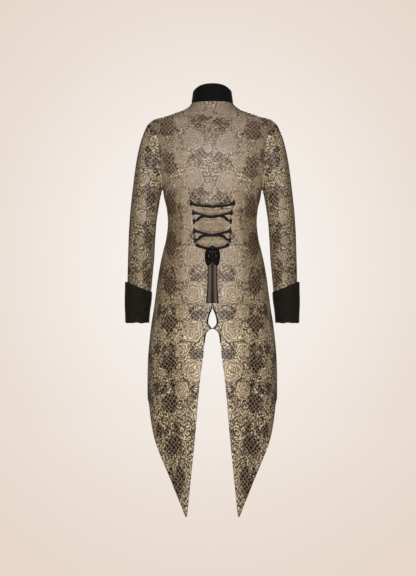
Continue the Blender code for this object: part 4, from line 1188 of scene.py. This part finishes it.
def brocade(name, cloth, dull, on_sleeve=False):
    """Jacquard brocade of viscose on a satin ground, woven with its figure in gold floats.

    The floats lie on the ground and catch a soft light, the net's ground stays dark, and the threads
    give a fine grain. The reverse is the same weave with its floats cut short, so it is duller.
    """
    shader, node, cut = new_look(name)
    net, cord, line, valley, gap, rose, shaded_stripe, low = brocade_figure(node, cut, cloth, on_sleeve)
    gold, shade, ground, sheen_pale_ground = (
        (*getattr(cloth, part), 1.0) for part in ("gold", "gold_shade", "ground", "sheen_pale_ground")
    )
    # Painted sheen: higher up the ground is paler and the net cords brighter; toward the tails the lines are
    # brighter
    ground = node("Mix", {0: low, 6: sheen_pale_ground, 7: ground}, **COLOURS)
    bright = node("MapRange", low, 0.0, 1.0, 1.06, 1.30)
    light = node("VectorMath.SCALE", {0: tuple(cloth.gold_light), "Scale": bright})
    bright = node("MapRange", low, 0.0, 1.0, 1.15, 0.98)
    cords = node("VectorMath.SCALE", {0: tuple(cloth.net_cord), "Scale": bright})
    # The gold is yellower on the tails and sleeves, under pale lines; the less yellow gold higher up is
    # painted sheen
    base = node("Mix", {0: rose, 6: shade, 7: gold}, **COLOURS)
    yellow = node("VectorMath.MULTIPLY", base, (0.90, 0.88, 0.68))
    base = node("Mix", {0: low, 6: base, 7: yellow}, **COLOURS)
    # Painted sheen softens the roses of the back and skirt; those of the tails and sleeves stay crisp
    soft = node("Math.MULTIPLY", rose, node("MapRange", low, 0.45, 0.95, 0.42, 0.0))
    line = node("Math.MULTIPLY", line, node("Math.SUBTRACT", 1.0, soft))
    depth = node("Math.MULTIPLY_ADD", rose, 0.26, node("MapRange", low, 0.0, 1.0, 0.62, 0.34))
    dimmed = node("VectorMath.SCALE", {0: base, "Scale": depth})
    colour = node("Mix", {0: valley, 6: base, 7: dimmed}, **COLOURS)
    colour = node("Mix", {0: line, 6: colour, 7: light}, **COLOURS)
    colour = node("Mix", {0: gap, 6: colour, 7: ground}, **COLOURS)
    netted = node("Mix", {0: cord, 6: ground, 7: cords}, **COLOURS)
    colour = node("Mix", {0: net, 6: colour, 7: netted}, **COLOURS)
    # The stripes' painted shade weakens toward the tails
    shaded_stripe = node("Math.MULTIPLY", shaded_stripe, node("MapRange", low, 0.0, 1.0, 1.0, 0.25))
    striped = node("VectorMath.MULTIPLY", colour, tuple(cloth.shaded_stripe))
    colour = node("Mix", {0: shaded_stripe, 6: colour, 7: striped}, **COLOURS)
    # Painted shade: the shoulders are darker than the back, and the sleeves a little darker too
    down = node("SeparateXYZ", cut, out="Y")
    painted_shade = 0.84 if on_sleeve else node("MapRange", down, -0.09, 0.14, 0.74, 1.0, **SOFT)
    colour = node("VectorMath.SCALE", {0: colour, "Scale": painted_shade})
    # Dye lots and handling leave soft areas a little lighter and darker
    cloudy = node("TexNoise", {"Vector": cut, "Scale": 9.0, "Detail": 3.0}, **FLAT)
    cloudy = node("MapRange", cloudy, 0.3, 0.7, 0.88 * dull, 1.10 * dull)
    colour = node("VectorMath.SCALE", {0: colour, "Scale": cloudy})
    # Threads are 0.35 mm apart, drawn at 0.9 mm so that they show close up
    thread = {"Vector": cut, "Scale": 1 / 0.0009 / 6.283}
    threads = [node("TexWave", thread, bands_direction=way) for way in ("X", "Y")]
    raised = node("Math.MULTIPLY_ADD", line, 0.5, 0.5)
    raised = node("Math.SUBTRACT", raised, gap)
    raised = node("Mix", {0: net, 2: raised, 3: cord})
    height = node("Math.MULTIPLY_ADD", node("Math.MULTIPLY", *threads), 0.25, raised)
    finish = {
        "Base Color": colour,
        "Normal": node("Bump", {"Height": height, "Strength": 0.5, "Distance": 0.0007}),
        "Roughness": node("MapRange", raised, 0.0, 1.0, 0.50, 0.38),
        "IOR": 1.5,
        "Specular IOR Level": 0.42,
    }
    set_inputs(shader, finish)


def velvet(name, dye):
    """Cotton velvet, woven with a short cut pile: near black, with a faint bloom where it turns away."""
    shader, node, cut = new_look(name)
    brushed = node("TexNoise", {"Vector": cut, "Scale": 60.0, "Detail": 3.0})
    shade = node("MapRange", brushed, 0.3, 0.7, 0.75, 1.3)
    # The pile is 0.2 mm fine, drawn at 0.8 mm
    pile = node("TexNoise", {"Vector": cut, "Scale": 1200.0, "Detail": 1.0})
    finish = {
        "Base Color": node("VectorMath.SCALE", {0: tuple(dye), "Scale": shade}),
        "Normal": node("Bump", {"Height": pile, "Strength": 0.3, "Distance": 0.0004}),
        "Roughness": 0.9,
        "IOR": 1.45,
        "Specular IOR Level": 0.25,
        "Sheen Weight": 0.06,
        "Sheen Roughness": 0.35,
    }
    set_inputs(shader, finish)


def satin(name, dye, rolled=False):
    """Polyester satin ribbon, woven with long weft floats: dark, with a soft streak of light along it.

    A rolled one has painted shade along its edges and a painted highlight down the middle of its face.
    """
    shader, node, cut = new_look(name)
    # Floats run along the ribbon, drawn 0.8 mm apart
    floats = node("VectorMath.MULTIPLY", cut, (1250.0, 60.0, 1.0))
    floats = node("TexNoise", {"Vector": floats, "Scale": 1.0, "Detail": 2.0}, **FLAT)
    shade = node("MapRange", floats, 0.3, 0.7, 0.75, 1.25)
    colour = node("VectorMath.SCALE", {0: tuple(dye), "Scale": shade})
    if rolled:
        # Painted light across the ribbon: a painted highlight down its middle, painted shade toward its edges
        across = node("Math.ABSOLUTE", node("SeparateXYZ", cut))
        shade = node("MapRange", across, 0.0022, 0.0074, 1.65, 0.30, **SOFT)
        colour = node("VectorMath.SCALE", {0: colour, "Scale": shade})
    finish = {
        "Base Color": colour,
        "Normal": node("Bump", {"Height": floats, "Strength": 0.2, "Distance": 0.0003}),
        "Roughness": 0.52,
        "IOR": 1.52,
        "Specular IOR Level": 0.14,
        "Anisotropic": 0.4,
    }
    set_inputs(shader, finish)


def loop_cord(name):
    """Braided polyester cord: black, with a slanting ply that breaks its shine into small points."""
    shader, node, cut = new_look(name)
    # Plies are 1 mm long
    ply = node("TexWave", {"Vector": cut, "Scale": 160.0}, bands_direction="DIAGONAL")
    dark, pale = ((*linear(code), 1.0) for code in ("0D0A08", "1E1713"))
    finish = {
        "Base Color": node("Mix", {0: ply, 6: dark, 7: pale}, **COLOURS),
        "Normal": node("Bump", {"Height": ply, "Strength": 0.5, "Distance": 0.0003}),
        "Roughness": 0.5,
        "Specular IOR Level": 0.25,
    }
    set_inputs(shader, finish)


def look_named(name):
    """A finish of the coat, made once."""
    cloth = bpy.context.scene.tailcoat_cloth
    if name not in bpy.data.materials:
        makers = {
            "woven brocade": lambda: brocade(name, cloth, 1.0),
            "woven brocade sleeve": lambda: brocade(name, cloth, 1.0, True),
            "brocade reverse": lambda: brocade(name, cloth, 0.55),
            "cotton velvet": lambda: velvet(name, cloth.black),
            "cotton velvet collar, painted shade": lambda: velvet(name, cloth.collar_black_shaded),
            "satin lace": lambda: satin(name, cloth.satin),
            "satin lace end, painted light": lambda: satin(name, cloth.satin_end_lit, rolled=True),
            "braided loop cord": lambda: loop_cord(name),
        }
        makers[name]()
    return bpy.data.materials[name]


# How far down the cut the brocade's repeat starts, on the body and on the sleeve
ROSE_START = 0.1147
SLEEVE_FIGURE_START = 0.3085
# Above the waist the right back's figure lies this much further out and higher
OFF_REGISTER = (0.015, 0.0125)
# How far the figure slants in and drops toward the tips of the tails, and how far it lies lower everywhere
TAIL_SLANT = 0.026
TAIL_DROP = 0.026
FIGURE_LOWER = 0.008


def back_figure(cut, z, side):
    """Places the figure on the back and skirt, mirrored at the centre, but off register above the waist."""
    off = smooth_step(z, -0.44, -0.34) * (1.0 if side > 0 else 0.0)
    slant = TAIL_SLANT * smooth_step(-z, 0.84, 1.26)
    drop = FIGURE_LOWER + TAIL_DROP * smooth_step(-z, 0.80, 1.22)
    out, up = OFF_REGISTER
    return stacked(cut[..., 0] + out * off + slant, cut[..., 1] - ROSE_START - up * off - drop)


def sleeve_figure(base):
    """The sleeve's flat cut, from its turn round the arm's middle, with u 0 on a column of net patches."""
    z = base[..., 2]
    low = np.minimum(z, SLEEVE_RINGS[0].z)
    outer, inner = (curve(SLEEVE_RINGS, "outer", low), curve(SLEEVE_RINGS, "inner", low))
    across = (base[..., 0] - (outer + inner) / 2) / (outer - inner) * 2
    behind = (curve(SLEEVE_RINGS, "middle", low) - base[..., 1]) / curve(SLEEVE_RINGS, "depth", low)
    turn = np.arctan2(behind, across)
    turn = np.where(turn < -math.radians(360 - FORE_SEAM) - 1e-6, turn + 2 * math.pi, turn)
    column = 1.93 + 0.24 * smooth_step(-z, 0.31, 0.56)
    return stacked((column - turn) * SLEEVE_MAP, -z - SLEEVE_FIGURE_START)


def lap_lift(angle):
    """The left front lies over the right one near the centre front."""
    return LAP_LIFT * smooth_step(angle, 150, 168)


SIDES = (("left", -1), ("right", 1))


class TAILCOAT_OT_body(bpy.types.Operator):
    """Make the six body pieces: backs with their tails, sides and fronts"""

    bl_idname = "tailcoat.body"
    bl_label = "Body pieces"

    def execute(self, context):
        rows = torso_rows(context.scene.tailcoat_cloth.grid)
        below = rows[rows < BACK_SEAM[0].z]
        side_rows = below[back_seam_angle(below) < outer_limit(below) - 0.1]
        front_rows = rows[(rows < SHOULDER_TIP - 0.001) & (rows > FRONT_LOWEST)]
        front_rows = np.concatenate([[SHOULDER_TIP], front_rows])
        # Each pair says whether creases fade at the panel's left and at its right edge
        at_arm = (rows > BACK_SEAM[0].z)[:, None]
        for word, side in SIDES:
            torso_panel(f"back_{word}", side, rows, vent_angle, back_seam_angle, 44, (False, at_arm))
            torso_panel(f"side_{word}", side, side_rows, back_seam_angle, outer_limit, 26, (False, True))
            lift = lap_lift if side < 0 else None
            torso_panel(f"front_{word}", side, front_rows, front_start, front_edge, 52, (True, True), lift)
        return {"FINISHED"}


class TAILCOAT_OT_sleeves(bpy.types.Operator):
    """Make the two-piece sleeves"""

    bl_idname = "tailcoat.sleeves"
    bl_label = "Sleeves"

    def execute(self, context):
        step = context.scene.tailcoat_cloth.grid
        for word, side in SIDES:
            sleeve_piece(f"sleeve_top_{word}", side, FORE_SEAM - 360, HIND_SEAM, step)
            sleeve_piece(f"sleeve_under_{word}", side, HIND_SEAM, FORE_SEAM, step)
        return {"FINISHED"}


class TAILCOAT_OT_cuffs(bpy.types.Operator):
    """Make the turned velvet cuffs"""

    bl_idname = "tailcoat.cuffs"
    bl_label = "Cuffs"

    def execute(self, context):
        share, phi = np.meshgrid(np.linspace(0, 1, 34), np.arange(0, 360, 4.0), indexing="ij")
        turn = np.radians(phi)
        top = CUFF_TOP + CUFF_SLANT * np.cos(turn)
        # The hem waves, the face gives a little and both edges roll in, each by less than a millimetre
        wave = 0.0009 * np.sin(5 * turn + 0.6) + 0.0006 * np.sin(9 * turn)
        z = top + (CUFF_HEM + wave - top) * share
        flare = CUFF_FLARE * np.maximum(0.0, np.cos(turn))
        soft = 0.0007 * np.sin(2 * turn + 5 * share) + 0.0005 * np.sin(3 * turn - 8 * share)
        roll = 0.0009 * (swell(share, 0.014) + swell(1 - share, 0.014))
        grow = CUFF_GAP + CUFF_CLOTH + flare
        outer = arm_ring(z, phi, grow + np.maximum(soft, -0.0006) - roll)
        inner = arm_ring(z, phi, grow - CUFF_CLOTH + 0.0002)
        flat = stacked(turn * CUFF_MAP, -z)
        looks = [look_named("cotton velvet")]
        for word, side in SIDES:
            shell(f"cuff_{word}", outer, inner, flat, looks, side, closed=True)
        return {"FINISHED"}


class TAILCOAT_OT_collar(bpy.types.Operator):
    """Make the velvet stand collar"""

    bl_idname = "tailcoat.collar"
    bl_label = "Collar"

    def execute(self, context):
        last = 180 - math.degrees(COLLAR_FRONT_GAP / 2 / NECK_RADIUS)
        round_neck = np.linspace(-last, last, 151)
        levels = np.concatenate([[0, 0.01, 0.03], np.linspace(0.06, 0.94, 18), [0.965, 0.985, 1.0]])
        share, degrees = np.meshgrid(levels, round_neck, indexing="ij")
        turn = np.abs(degrees)
        foot = neck_loop(turn)
        stand = [[getattr(row, name) for row in COLLAR_STAND] for name in ("degrees", "height", "lean")]
        height = np.interp(turn, stand[0], stand[1])
        lean = np.interp(turn, stand[0], stand[2])
        round_off = COLLAR_CORNER * smooth_step(turn, 165, 180) * share
        out = unit(foot * [1, 1, 0])
        # The top edge rolls over, and the stand gives a little along its length
        rolled = 0.0011 * smooth_step(share, 0.95, 1.0) ** 2
        soft = 0.0006 * np.sin(np.radians(turn) * 4 + 0.8) * share
        z = foot[..., 2] + SEAM_GAP + (height - round_off) * share
        level = foot * [1, 1, 0] - out * (lean * share)[..., None]
        up = stacked(0.0, 0.0, z)
        outer = level - out * (rolled - soft)[..., None] + up
        inner = level - out * (COLLAR_CLOTH - rolled * 0.6 - soft)[..., None] + up
        sign = facing(degrees)
        flat = stacked(np.radians(degrees) * COLLAR_MAP, -z)
        looks = [look_named("cotton velvet collar, painted shade")]
        shell("collar", outer * sign, inner * sign, flat, looks)
        return {"FINISHED"}


def on_back(x, z, lift):
    """Points over the back at these distances from the centre, moved out along the normal, and the normal."""
    x, z, lift = np.broadcast_arrays(np.asarray(x, float), np.asarray(z, float), np.asarray(lift, float))
    angle = angle_at_x(z, np.abs(x))
    out = body_normal(z, angle)
    point = body(z, angle) + out * lift[..., None]
    return point * facing(x), out * facing(x)


def spread(points, count):
    """A smooth run of points through a few, as an array."""
    points = np.asarray(points, float)
    last = len(points) - 1
    place = np.linspace(0, last, count + 1)
    k = np.minimum(place.astype(int), last - 1)
    t = (place - k)[:, None]
    a, b = (points[np.maximum(k - 1, 0)], points[k])
    c, d = (points[k + 1], points[np.minimum(k + 2, last)])
    return 0.5 * (2 * b + (c - a) * t + (2 * a - 5 * b + 4 * c - d) * t * t + (3 * b - a - 3 * c + d) * t**3)


def lengths_along(points):
    """The length of a line from its first point to each of its points."""
    return np.concatenate([[0.0], np.cumsum(np.linalg.norm(np.diff(points, axis=0), axis=-1))])


def band(name, centres, outs, width, crown, look="satin lace"):
    """A satin band along a line, wide within the surface, whose middle stands out by its crown."""
    ahead = np.gradient(centres, axis=0)
    sideways = unit(np.cross(ahead, outs))
    # Columns crowd toward both edges
    shares = np.array([-1.0, -0.93, -0.75, -0.4, 0.0, 0.4, 0.75, 0.93, 1.0])
    wide = np.broadcast_to(np.asarray(width, float) / 2, (len(centres),))
    tall = np.broadcast_to(np.asarray(crown, float), (len(centres),))
    rise = tall[:, None] * (1 - shares**2)[None, :]
    across = wide[:, None] * shares
    grid = centres[:, None] + sideways[:, None] * across[..., None] + outs[:, None] * rise[..., None]
    flat = stacked(across, lengths_along(centres)[:, None])
    half = outs[:, None] * RIBBON_CLOTH / 2
    return shell(name, grid + half, grid - half, flat, [look_named(look)])


def cord_tube(name, points, radius, sides=10):
    """A round cord along a line of points, with its ends closed."""
    ahead = unit(np.gradient(points, axis=0))
    start = np.cross(ahead, [0.31, 0.17, 0.93])
    side = unit(start)
    other = np.cross(ahead, side)
    turn = np.linspace(0, 2 * math.pi, sides, endpoint=False)
    ring = np.cos(turn)[None, :, None] * side[:, None] + np.sin(turn)[None, :, None] * other[:, None]
    wide = np.broadcast_to(np.asarray(radius, float), (len(points),))
    flat = stacked(turn[None, :] * wide.max(), lengths_along(points)[:, None])
    outer = points[:, None] + ring * wide[:, None, None]
    core = points[:, None] + ring * wide[:, None, None] * (1 - CORD_INSET)
    return shell(name, outer, core, flat, [look_named("braided loop cord")], closed=True)


class TAILCOAT_OT_lace_ends(bpy.types.Operator):
    """Make the lace's two hanging ends"""

    bl_idname = "tailcoat.lace_ends"
    bl_label = "Lace ends"

    def execute(self, context):
        for word, side in SIDES:
            # A wide soft ribbon, pressed against its fellow, that opens toward its cut end
            run = spread([(run.x, BOW_HEIGHT - run.drop, run.lift) for run in HANGING_END], 54)
            along = np.linspace(0, 1, len(run))
            wide = END_WIDTH * (0.94 + 0.26 * smooth_step(along, 0.66, 1.0))
            run[:, 0] = side * (wide / 2 + 0.0001)
            route, out = on_back(*run.T)
            wave = 0.0004 * np.sin(along * (9 + side))
            # The ends take the lace's satin painted lighter, as lit
            piece = band(f"lace_end_{word}", route, out, wide, END_CROWN + wave, look="satin lace end, painted light")
        return {"FINISHED"}


class TAILCOAT_OT_lacing(bpy.types.Operator):
    """Make the lace across the back and the loops that hold it"""

    bl_idname = "tailcoat.lacing"
    bl_label = "Lacing"

    def execute(self, context):
        width = context.scene.tailcoat_cloth.lace_width
        row = LACE_ROWS[0]
        end = (row.half + LACE_PAST_LOOP, row.z, LACE_LOW)
        middle, bend = ((run.x, row.z - run.drop, run.lift) for run in (BAR_MIDDLE, BAR_BEND))
        runs = {"lace_bar": [(-x, z, lift) for x, z, lift in (end, bend)] + [middle, bend, end]}
        for word, top, bottom in (("upper", *LACE_ROWS[1:3]), ("lower", *LACE_ROWS[3:5])):
            for side, name, lift in ((1, "under", LACE_LOW), (-1, "over", LACE_HIGH)):
                shoulder = LACE_LOW + (lift - LACE_LOW) * BEND_LIFT
                runs[f"lace_{word}_{name}"] = [
                    (-side * (top.half + LACE_PAST_LOOP), top.z, LACE_LOW),
                    (-side * top.half * TOP_BEND.share, top.z - TOP_BEND.rise, shoulder),
                    (0.0, (top.z + bottom.z) / 2, lift),
                    (side * bottom.half * LOW_BEND.share, bottom.z + LOW_BEND.rise, shoulder),
                    (side * (bottom.half - LACE_LEVEL), bottom.z + LACE_LEVEL_RISE, LACE_LOW),
                    (side * (bottom.half + LACE_PAST_LOOP), bottom.z, LACE_LOW),
                ]
        for word, side in SIDES:
            last = LACE_ROWS[-1].z
            runs[f"lace_to_bow_{word}"] = [(side * run.x, last - run.drop, run.lift) for run in TO_BOW]
        for name, run in runs.items():
            x, z, lift = spread(run, 64).T
            row_half = max(abs(run[0][0]), abs(run[-1][0])) - LACE_PAST_LOOP
            route, out = on_back(x, z, lift + crease_height(BACK_CREASES, x, z))
            # The lace bunches where it goes under a loop
            share = swell(row_half - np.abs(x), BUNCHED.reach)
            wide = width * (1.12 + BUNCHED.wider * share)
            band(name, route, out, wide, LACE_CROWN + BUNCHED.fuller * share)
        arch = [(-along, up) for along, up in LOOP_ARCH] + LOOP_ARCH[::-1]
        steps = spread(arch, 28)
        half = width / 2 + LOOP_SPARE
        for number, row in enumerate(LACE_ROWS, 1):
            for word, side in SIDES:
                lift = LOOP_FOOT + (LOOP_RISE - LOOP_FOOT) * steps[:, 1]
                points, _ = on_back(side * (row.half - LOOP_INSET), row.z + half * steps[:, 0], lift)
                cord_tube(f"lace_loop_{number}_{word}", points, LOOP_FACE)
        return {"FINISHED"}


class TAILCOAT_OT_bow(bpy.types.Operator):
    """Make the bow's knot and its two hanging loops"""

    bl_idname = "tailcoat.bow"
    bl_label = "Bow"

    def execute(self, context):
        middle = BOW_HEIGHT - BOW_LOOP_DROP
        turn = np.radians(BOW_LOOP_START - BOW_LOOP_TURN * np.linspace(0, 1, 96))[:, None]
        share = np.linspace(0, 1, 11)[None, :]
        inset = 1 - 2.0 * BOW_LOOP_INSET * share
        x = BOW_LOOP_X + np.cos(turn) * BOW_LOOP_HALF[0] * inset
        z = middle + np.sin(turn) * BOW_LOOP_HALF[1] * inset
        # The band rises from its rim, rolls over and turns in to the loop's dark middle
        near, far = BOW_LOOP_LIFTS
        ripple = 0.0006 * np.sin(7 * turn + 2 * share) * np.sin(math.pi * share)
        roll = np.sin(math.pi * np.minimum(share, 0.5)) - 0.7 * smooth_step(share, 0.5, 1.0)
        grid, _ = on_back(x, z, near + (far - near) * roll)
        across = unit(np.cross(np.gradient(grid, axis=0), np.gradient(grid, axis=1)))
        grid = grid + across * ripple[..., None]
        flat = stacked(share * 0.009, lengths_along(grid[:, 0])[:, None])
        half = across * RIBBON_CLOTH / 2
        looks = [look_named("satin lace")]
        for word, side in SIDES:
            shell(f"bow_loop_{word}", grid + half, grid - half, flat, looks, side)
        centre, _ = on_back(0.0, BOW_HEIGHT, KNOT_LIFT)
        ball = bmesh.new()
        bmesh.ops.create_uvsphere(ball, u_segments=40, v_segments=28, radius=1.0)
        for point in ball.verts:
            # The lace wraps round the knot, in three turns with grooves between
            groove = 1 - 0.09 * abs(math.cos(point.co.x * 4.2 + 0.5 * point.co.z)) ** 6
            point.co = Vector(np.array(point.co) * KNOT_HALF * KNOT_WRAPPED * groove + centre)
        mesh = bpy.data.meshes.new("bow_knot")
        ball.to_mesh(mesh)
        ball.free()
        flat = mesh.uv_layers.new(name="cut")
        for loop in mesh.loops:
            place = mesh.vertices[loop.vertex_index].co
            flat.data[loop.index].uv = (place.x, place.z)
        finish_piece("bow_knot", mesh, looks)
        return {"FINISHED"}


class TAILCOAT_OT_vent(bpy.types.Operator):
    """Make the vent's black bindings and the thread bar that holds it"""

    bl_idname = "tailcoat.vent"
    bl_label = "Vent"

    def execute(self, context):
        rows = level_rows(*BINDING_SPAN, BINDING_ROW)
        edge = vent_angle(rows)
        per_metre = degrees_for(rows, edge + 2, 1.0)[:, None]
        outer_line = np.array(BINDING_SECTION)
        inner_line = outer_line + (np.array(BINDING_CORE) - outer_line) * BINDING_INSET
        z = np.broadcast_to(rows[:, None], (len(rows), len(outer_line)))
        angle = edge[:, None] + per_metre * outer_line[None, :, 0]
        out = body_normal(z, np.abs(angle))
        outer = body(z, angle) + out * outer_line[None, :, 1, None]
        inner_angle = edge[:, None] + per_metre * inner_line[None, :, 0]
        under = body(z, inner_angle) + out * inner_line[None, :, 1, None]
        across = np.linspace(0, SHEETS["vent_binding"].width, len(outer_line))
        flat = stacked(across[None, :], -rows[:, None])
        looks = [look_named("cotton velvet")]
        for word, side in SIDES:
            shell(f"vent_binding_{word}", outer, under, flat, looks, side)
        x = np.linspace(-BAR_HALF, BAR_HALF, 61)
        points, _ = on_back(x, BAR_HEIGHT, BAR_LIFT)
        # Its wraps of thread show as fine rings
        wire = BAR_WIRE + 0.0002 * np.sin(x / BAR_HALF * 40)
        cord_tube("vent_bar", points, wire)
        return {"FINISHED"}


class TAILCOAT_OT_buttons(bpy.types.Operator):
    """Make the five covered buttons of the front"""

    bl_idname = "tailcoat.buttons"
    bl_label = "Buttons"

    def execute(self, context):
        for number in range(BUTTON_COUNT):
            z = BUTTON_TOP - BUTTON_SPACING * number
            out = body_normal(z, 180.0)
            centre = body(z, 180.0)
            reach = float(degrees_for(z, 180.0, BUTTON_RADIUS))
            corners = [(up, along) for up in (-1, 0, 1) for along in (0, 1)]
            under = [body(z + BUTTON_RADIUS * up, 180 - reach * along) for up, along in corners]
            seat = LAP_LIFT + SEAM_GAP + max(float((point - centre) @ out) for point in under)
            middle = centre + out * (seat + BUTTON_DEPTH / 2)
            side = unit(np.cross([0.0, 0.0, 1.0], out))
            up = np.cross(out, side)
            turn = np.linspace(0, 2 * math.pi, 40, endpoint=False)
            rows = spread(BUTTON_SECTION, 36)
            # The cloth is gathered under the rim, which leaves faint pleats
            pleat = 1 - PLEAT_DEPTH * np.cos(PLEATS * turn)[None, :] * (rows[:, :1] > PLEATS_START)
            wide = np.maximum(rows[:, :1], 0.00002) * pleat
            ring = np.cos(turn)[None, :, None] * side + np.sin(turn)[None, :, None] * up
            outer = middle + ring * wide[..., None] + out * rows[:, 1][:, None, None]
            core = middle + (outer - middle) * (1 - BUTTON_INSET)
            flat = stacked(wide * np.cos(turn), wide * np.sin(turn))
            looks = [look_named("cotton velvet")]
            shell(f"button_{number + 1}", outer, core, flat, looks, closed=True)
        return {"FINISHED"}


# The camera's place, level with the coat's middle, and its lens and sensor width in millimetres
CAMERA_PLACE = (-0.0138, -4.5, -0.589)
LENS = 87.9
SENSOR = 36.0

# The cove: heights of floor and top, places of its front edge, floor fold and wall, bend radius, half width
COVE = namedtuple("Cove", "floor top front fold wall bend half")(-1.50, 5.0, -8.5, -2.0, 8.5, 1.6, 8.0)
# The wall's painted pool of light, as directions from CAMERA_PLACE and fixed on the wall and floor: middle,
# stretch, reach
PATCH_MIDDLE = (0.0, 1.0, 0.02)
PATCH_STRETCH = (3.55, 0.0, 3.12)
PATCH_REACH = 0.85

# The round soft lights: place, the point each faces, width, and its share of the studio's power
Lamp = namedtuple("Lamp", "name place target width share")
LAMPS = [
    Lamp("front softbox", (0.0, -5.0, 0.6), (0.0, 0.0, -0.6), 1.5, 1.31),
    Lamp("fill softbox", (0.0, -5.0, -1.2), (0.0, 0.0, -0.7), 1.7, 0.20),
    Lamp("front fill", (0.0, 5.2, 0.9), (0.0, 0.0, -0.5), 2.4, 0.8),
]
# The strength of the light from all round, on the coat and as the camera sees it
AIR = (0.13, 0.9)


class TAILCOAT_OT_stage(bpy.types.Operator):
    """Make the floor, backdrop, lights and camera"""

    bl_idname = "tailcoat.stage"
    bl_label = "Stage"

    def execute(self, context):
        scene = context.scene
        studio = scene.tailcoat_studio
        # A floor that curves up into a wall behind the coat
        turn = np.linspace(0, math.pi / 2, 24)
        across = COVE.wall - COVE.bend + COVE.bend * np.sin(turn)
        up = COVE.floor + COVE.bend - COVE.bend * np.cos(turn)
        line = [(COVE.front, COVE.floor), (COVE.fold, COVE.floor), *zip(across, up), (COVE.wall, COVE.top)]
        points = [(x, y, z) for y, z in line for x in (-COVE.half, COVE.half)]
        faces = [(2 * i, 2 * i + 1, 2 * i + 3, 2 * i + 2) for i in range(len(line) - 1)]
        mesh = bpy.data.meshes.new("studio_cove")
        mesh.from_pydata(points, [], faces)
        mesh.shade_smooth()
        look = bpy.data.materials.new("glowing studio cove")
        look.use_nodes = True
        mesh.materials.append(look)
        node = partial(add, look.node_tree)
        # Painted light: the cove glows, lightest behind the coat and fading outward, fixed to the wall and
        # floor
        off = node("VectorMath.SUBTRACT", node("NewGeometry", out="Position"), CAMERA_PLACE)
        ahead = node("Math.DIVIDE", 1.0, node("SeparateXYZ", off, out="Y"))
        off = node("VectorMath.SCALE", {0: off, "Scale": ahead})
        off = node("VectorMath.SUBTRACT", off, PATCH_MIDDLE)
        off = node("VectorMath.MULTIPLY", off, PATCH_STRETCH)
        off = node("VectorMath.LENGTH", off, out="Value")
        fade = node("MapRange", off, 0.0, PATCH_REACH, **SOFT)
        pale, rim = ((*colour, 1.0) for colour in (studio.backdrop, studio.backdrop_rim))
        finish = {
            "Base Color": (0.01, 0.01, 0.01, 1.0),
            "Roughness": 0.9,
            "Specular IOR Level": 0.0,
            "Emission Color": node("Mix", {0: fade, 6: pale, 7: rim}, **COLOURS),
            "Emission Strength": 1.0,
        }
        set_inputs(look.node_tree.nodes["Principled BSDF"], finish)
        cove = linked("studio_cove", mesh)
        # The cove is only seen: it throws no light on the coat
        cove.visible_diffuse = False
        cove.visible_glossy = False
        cove.visible_shadow = False
        world = bpy.data.worlds.new("studio")
        scene.world = world
        world.use_nodes = True
        seen = add(world.node_tree, "LightPath")
        strength = add(world.node_tree, "MapRange", seen, 0.0, 1.0, *AIR)
        air = {"Color": (*studio.air, 1.0), "Strength": strength}
        set_inputs(world.node_tree.nodes["Background"], air)
        for lamp in LAMPS:
            data = bpy.data.lights.new(lamp.name, "AREA")
            data.shape = "DISK"
            data.size = lamp.width
            data.energy = studio.key_power * lamp.share
            made = linked(lamp.name, data)
            made.location = lamp.place
            made.rotation_mode = "QUATERNION"
            made.rotation_quaternion = (Vector(lamp.target) - Vector(lamp.place)).to_track_quat("-Z", "Y")
        data = bpy.data.cameras.new("camera")
        data.lens = LENS
        data.sensor_width = SENSOR
        data.dof.use_dof = False
        camera = linked("camera", data)
        camera.location = CAMERA_PLACE
        camera.rotation_euler = (math.pi / 2, 0.0, 0.0)
        scene.camera = camera
        scene.view_settings.view_transform = "Standard"
        return {"FINISHED"}


OPERATORS = [
    TAILCOAT_OT_stage,
    TAILCOAT_OT_lace_ends,
    TAILCOAT_OT_body,
    TAILCOAT_OT_sleeves,
    TAILCOAT_OT_cuffs,
    TAILCOAT_OT_collar,
    TAILCOAT_OT_lacing,
    TAILCOAT_OT_bow,
    TAILCOAT_OT_vent,
    TAILCOAT_OT_buttons,
]


class TAILCOAT_PT_panel(bpy.types.Panel):
    """Lists the tailcoat's cloths and the operators that make its pieces"""

    bl_idname = "TAILCOAT_PT_panel"
    bl_label = "Tailcoat"
    bl_space_type = "VIEW_3D"
    bl_region_type = "UI"
    bl_category = "Tailcoat"

    def draw(self, context):
        layout = self.layout
        for group in (context.scene.tailcoat_cloth, context.scene.tailcoat_studio):
            for name in group.__annotations__:
                layout.prop(group, name)
        for operator in OPERATORS:
            layout.operator(operator.bl_idname)


CLASSES = [TailcoatCloth, TailcoatStudio, *OPERATORS, TAILCOAT_PT_panel]


def register():
    for made in CLASSES:
        bpy.utils.register_class(made)
    bpy.types.Scene.tailcoat_cloth = bpy.props.PointerProperty(type=TailcoatCloth)
    bpy.types.Scene.tailcoat_studio = bpy.props.PointerProperty(type=TailcoatStudio)


def unregister():
    del bpy.types.Scene.tailcoat_studio
    del bpy.types.Scene.tailcoat_cloth
    for made in reversed(CLASSES):
        bpy.utils.unregister_class(made)


def main():
    register()
    for operator in OPERATORS:
        group, name = operator.bl_idname.split(".")
        getattr(getattr(bpy.ops, group), name)()


if __name__ == "__main__":
    main()
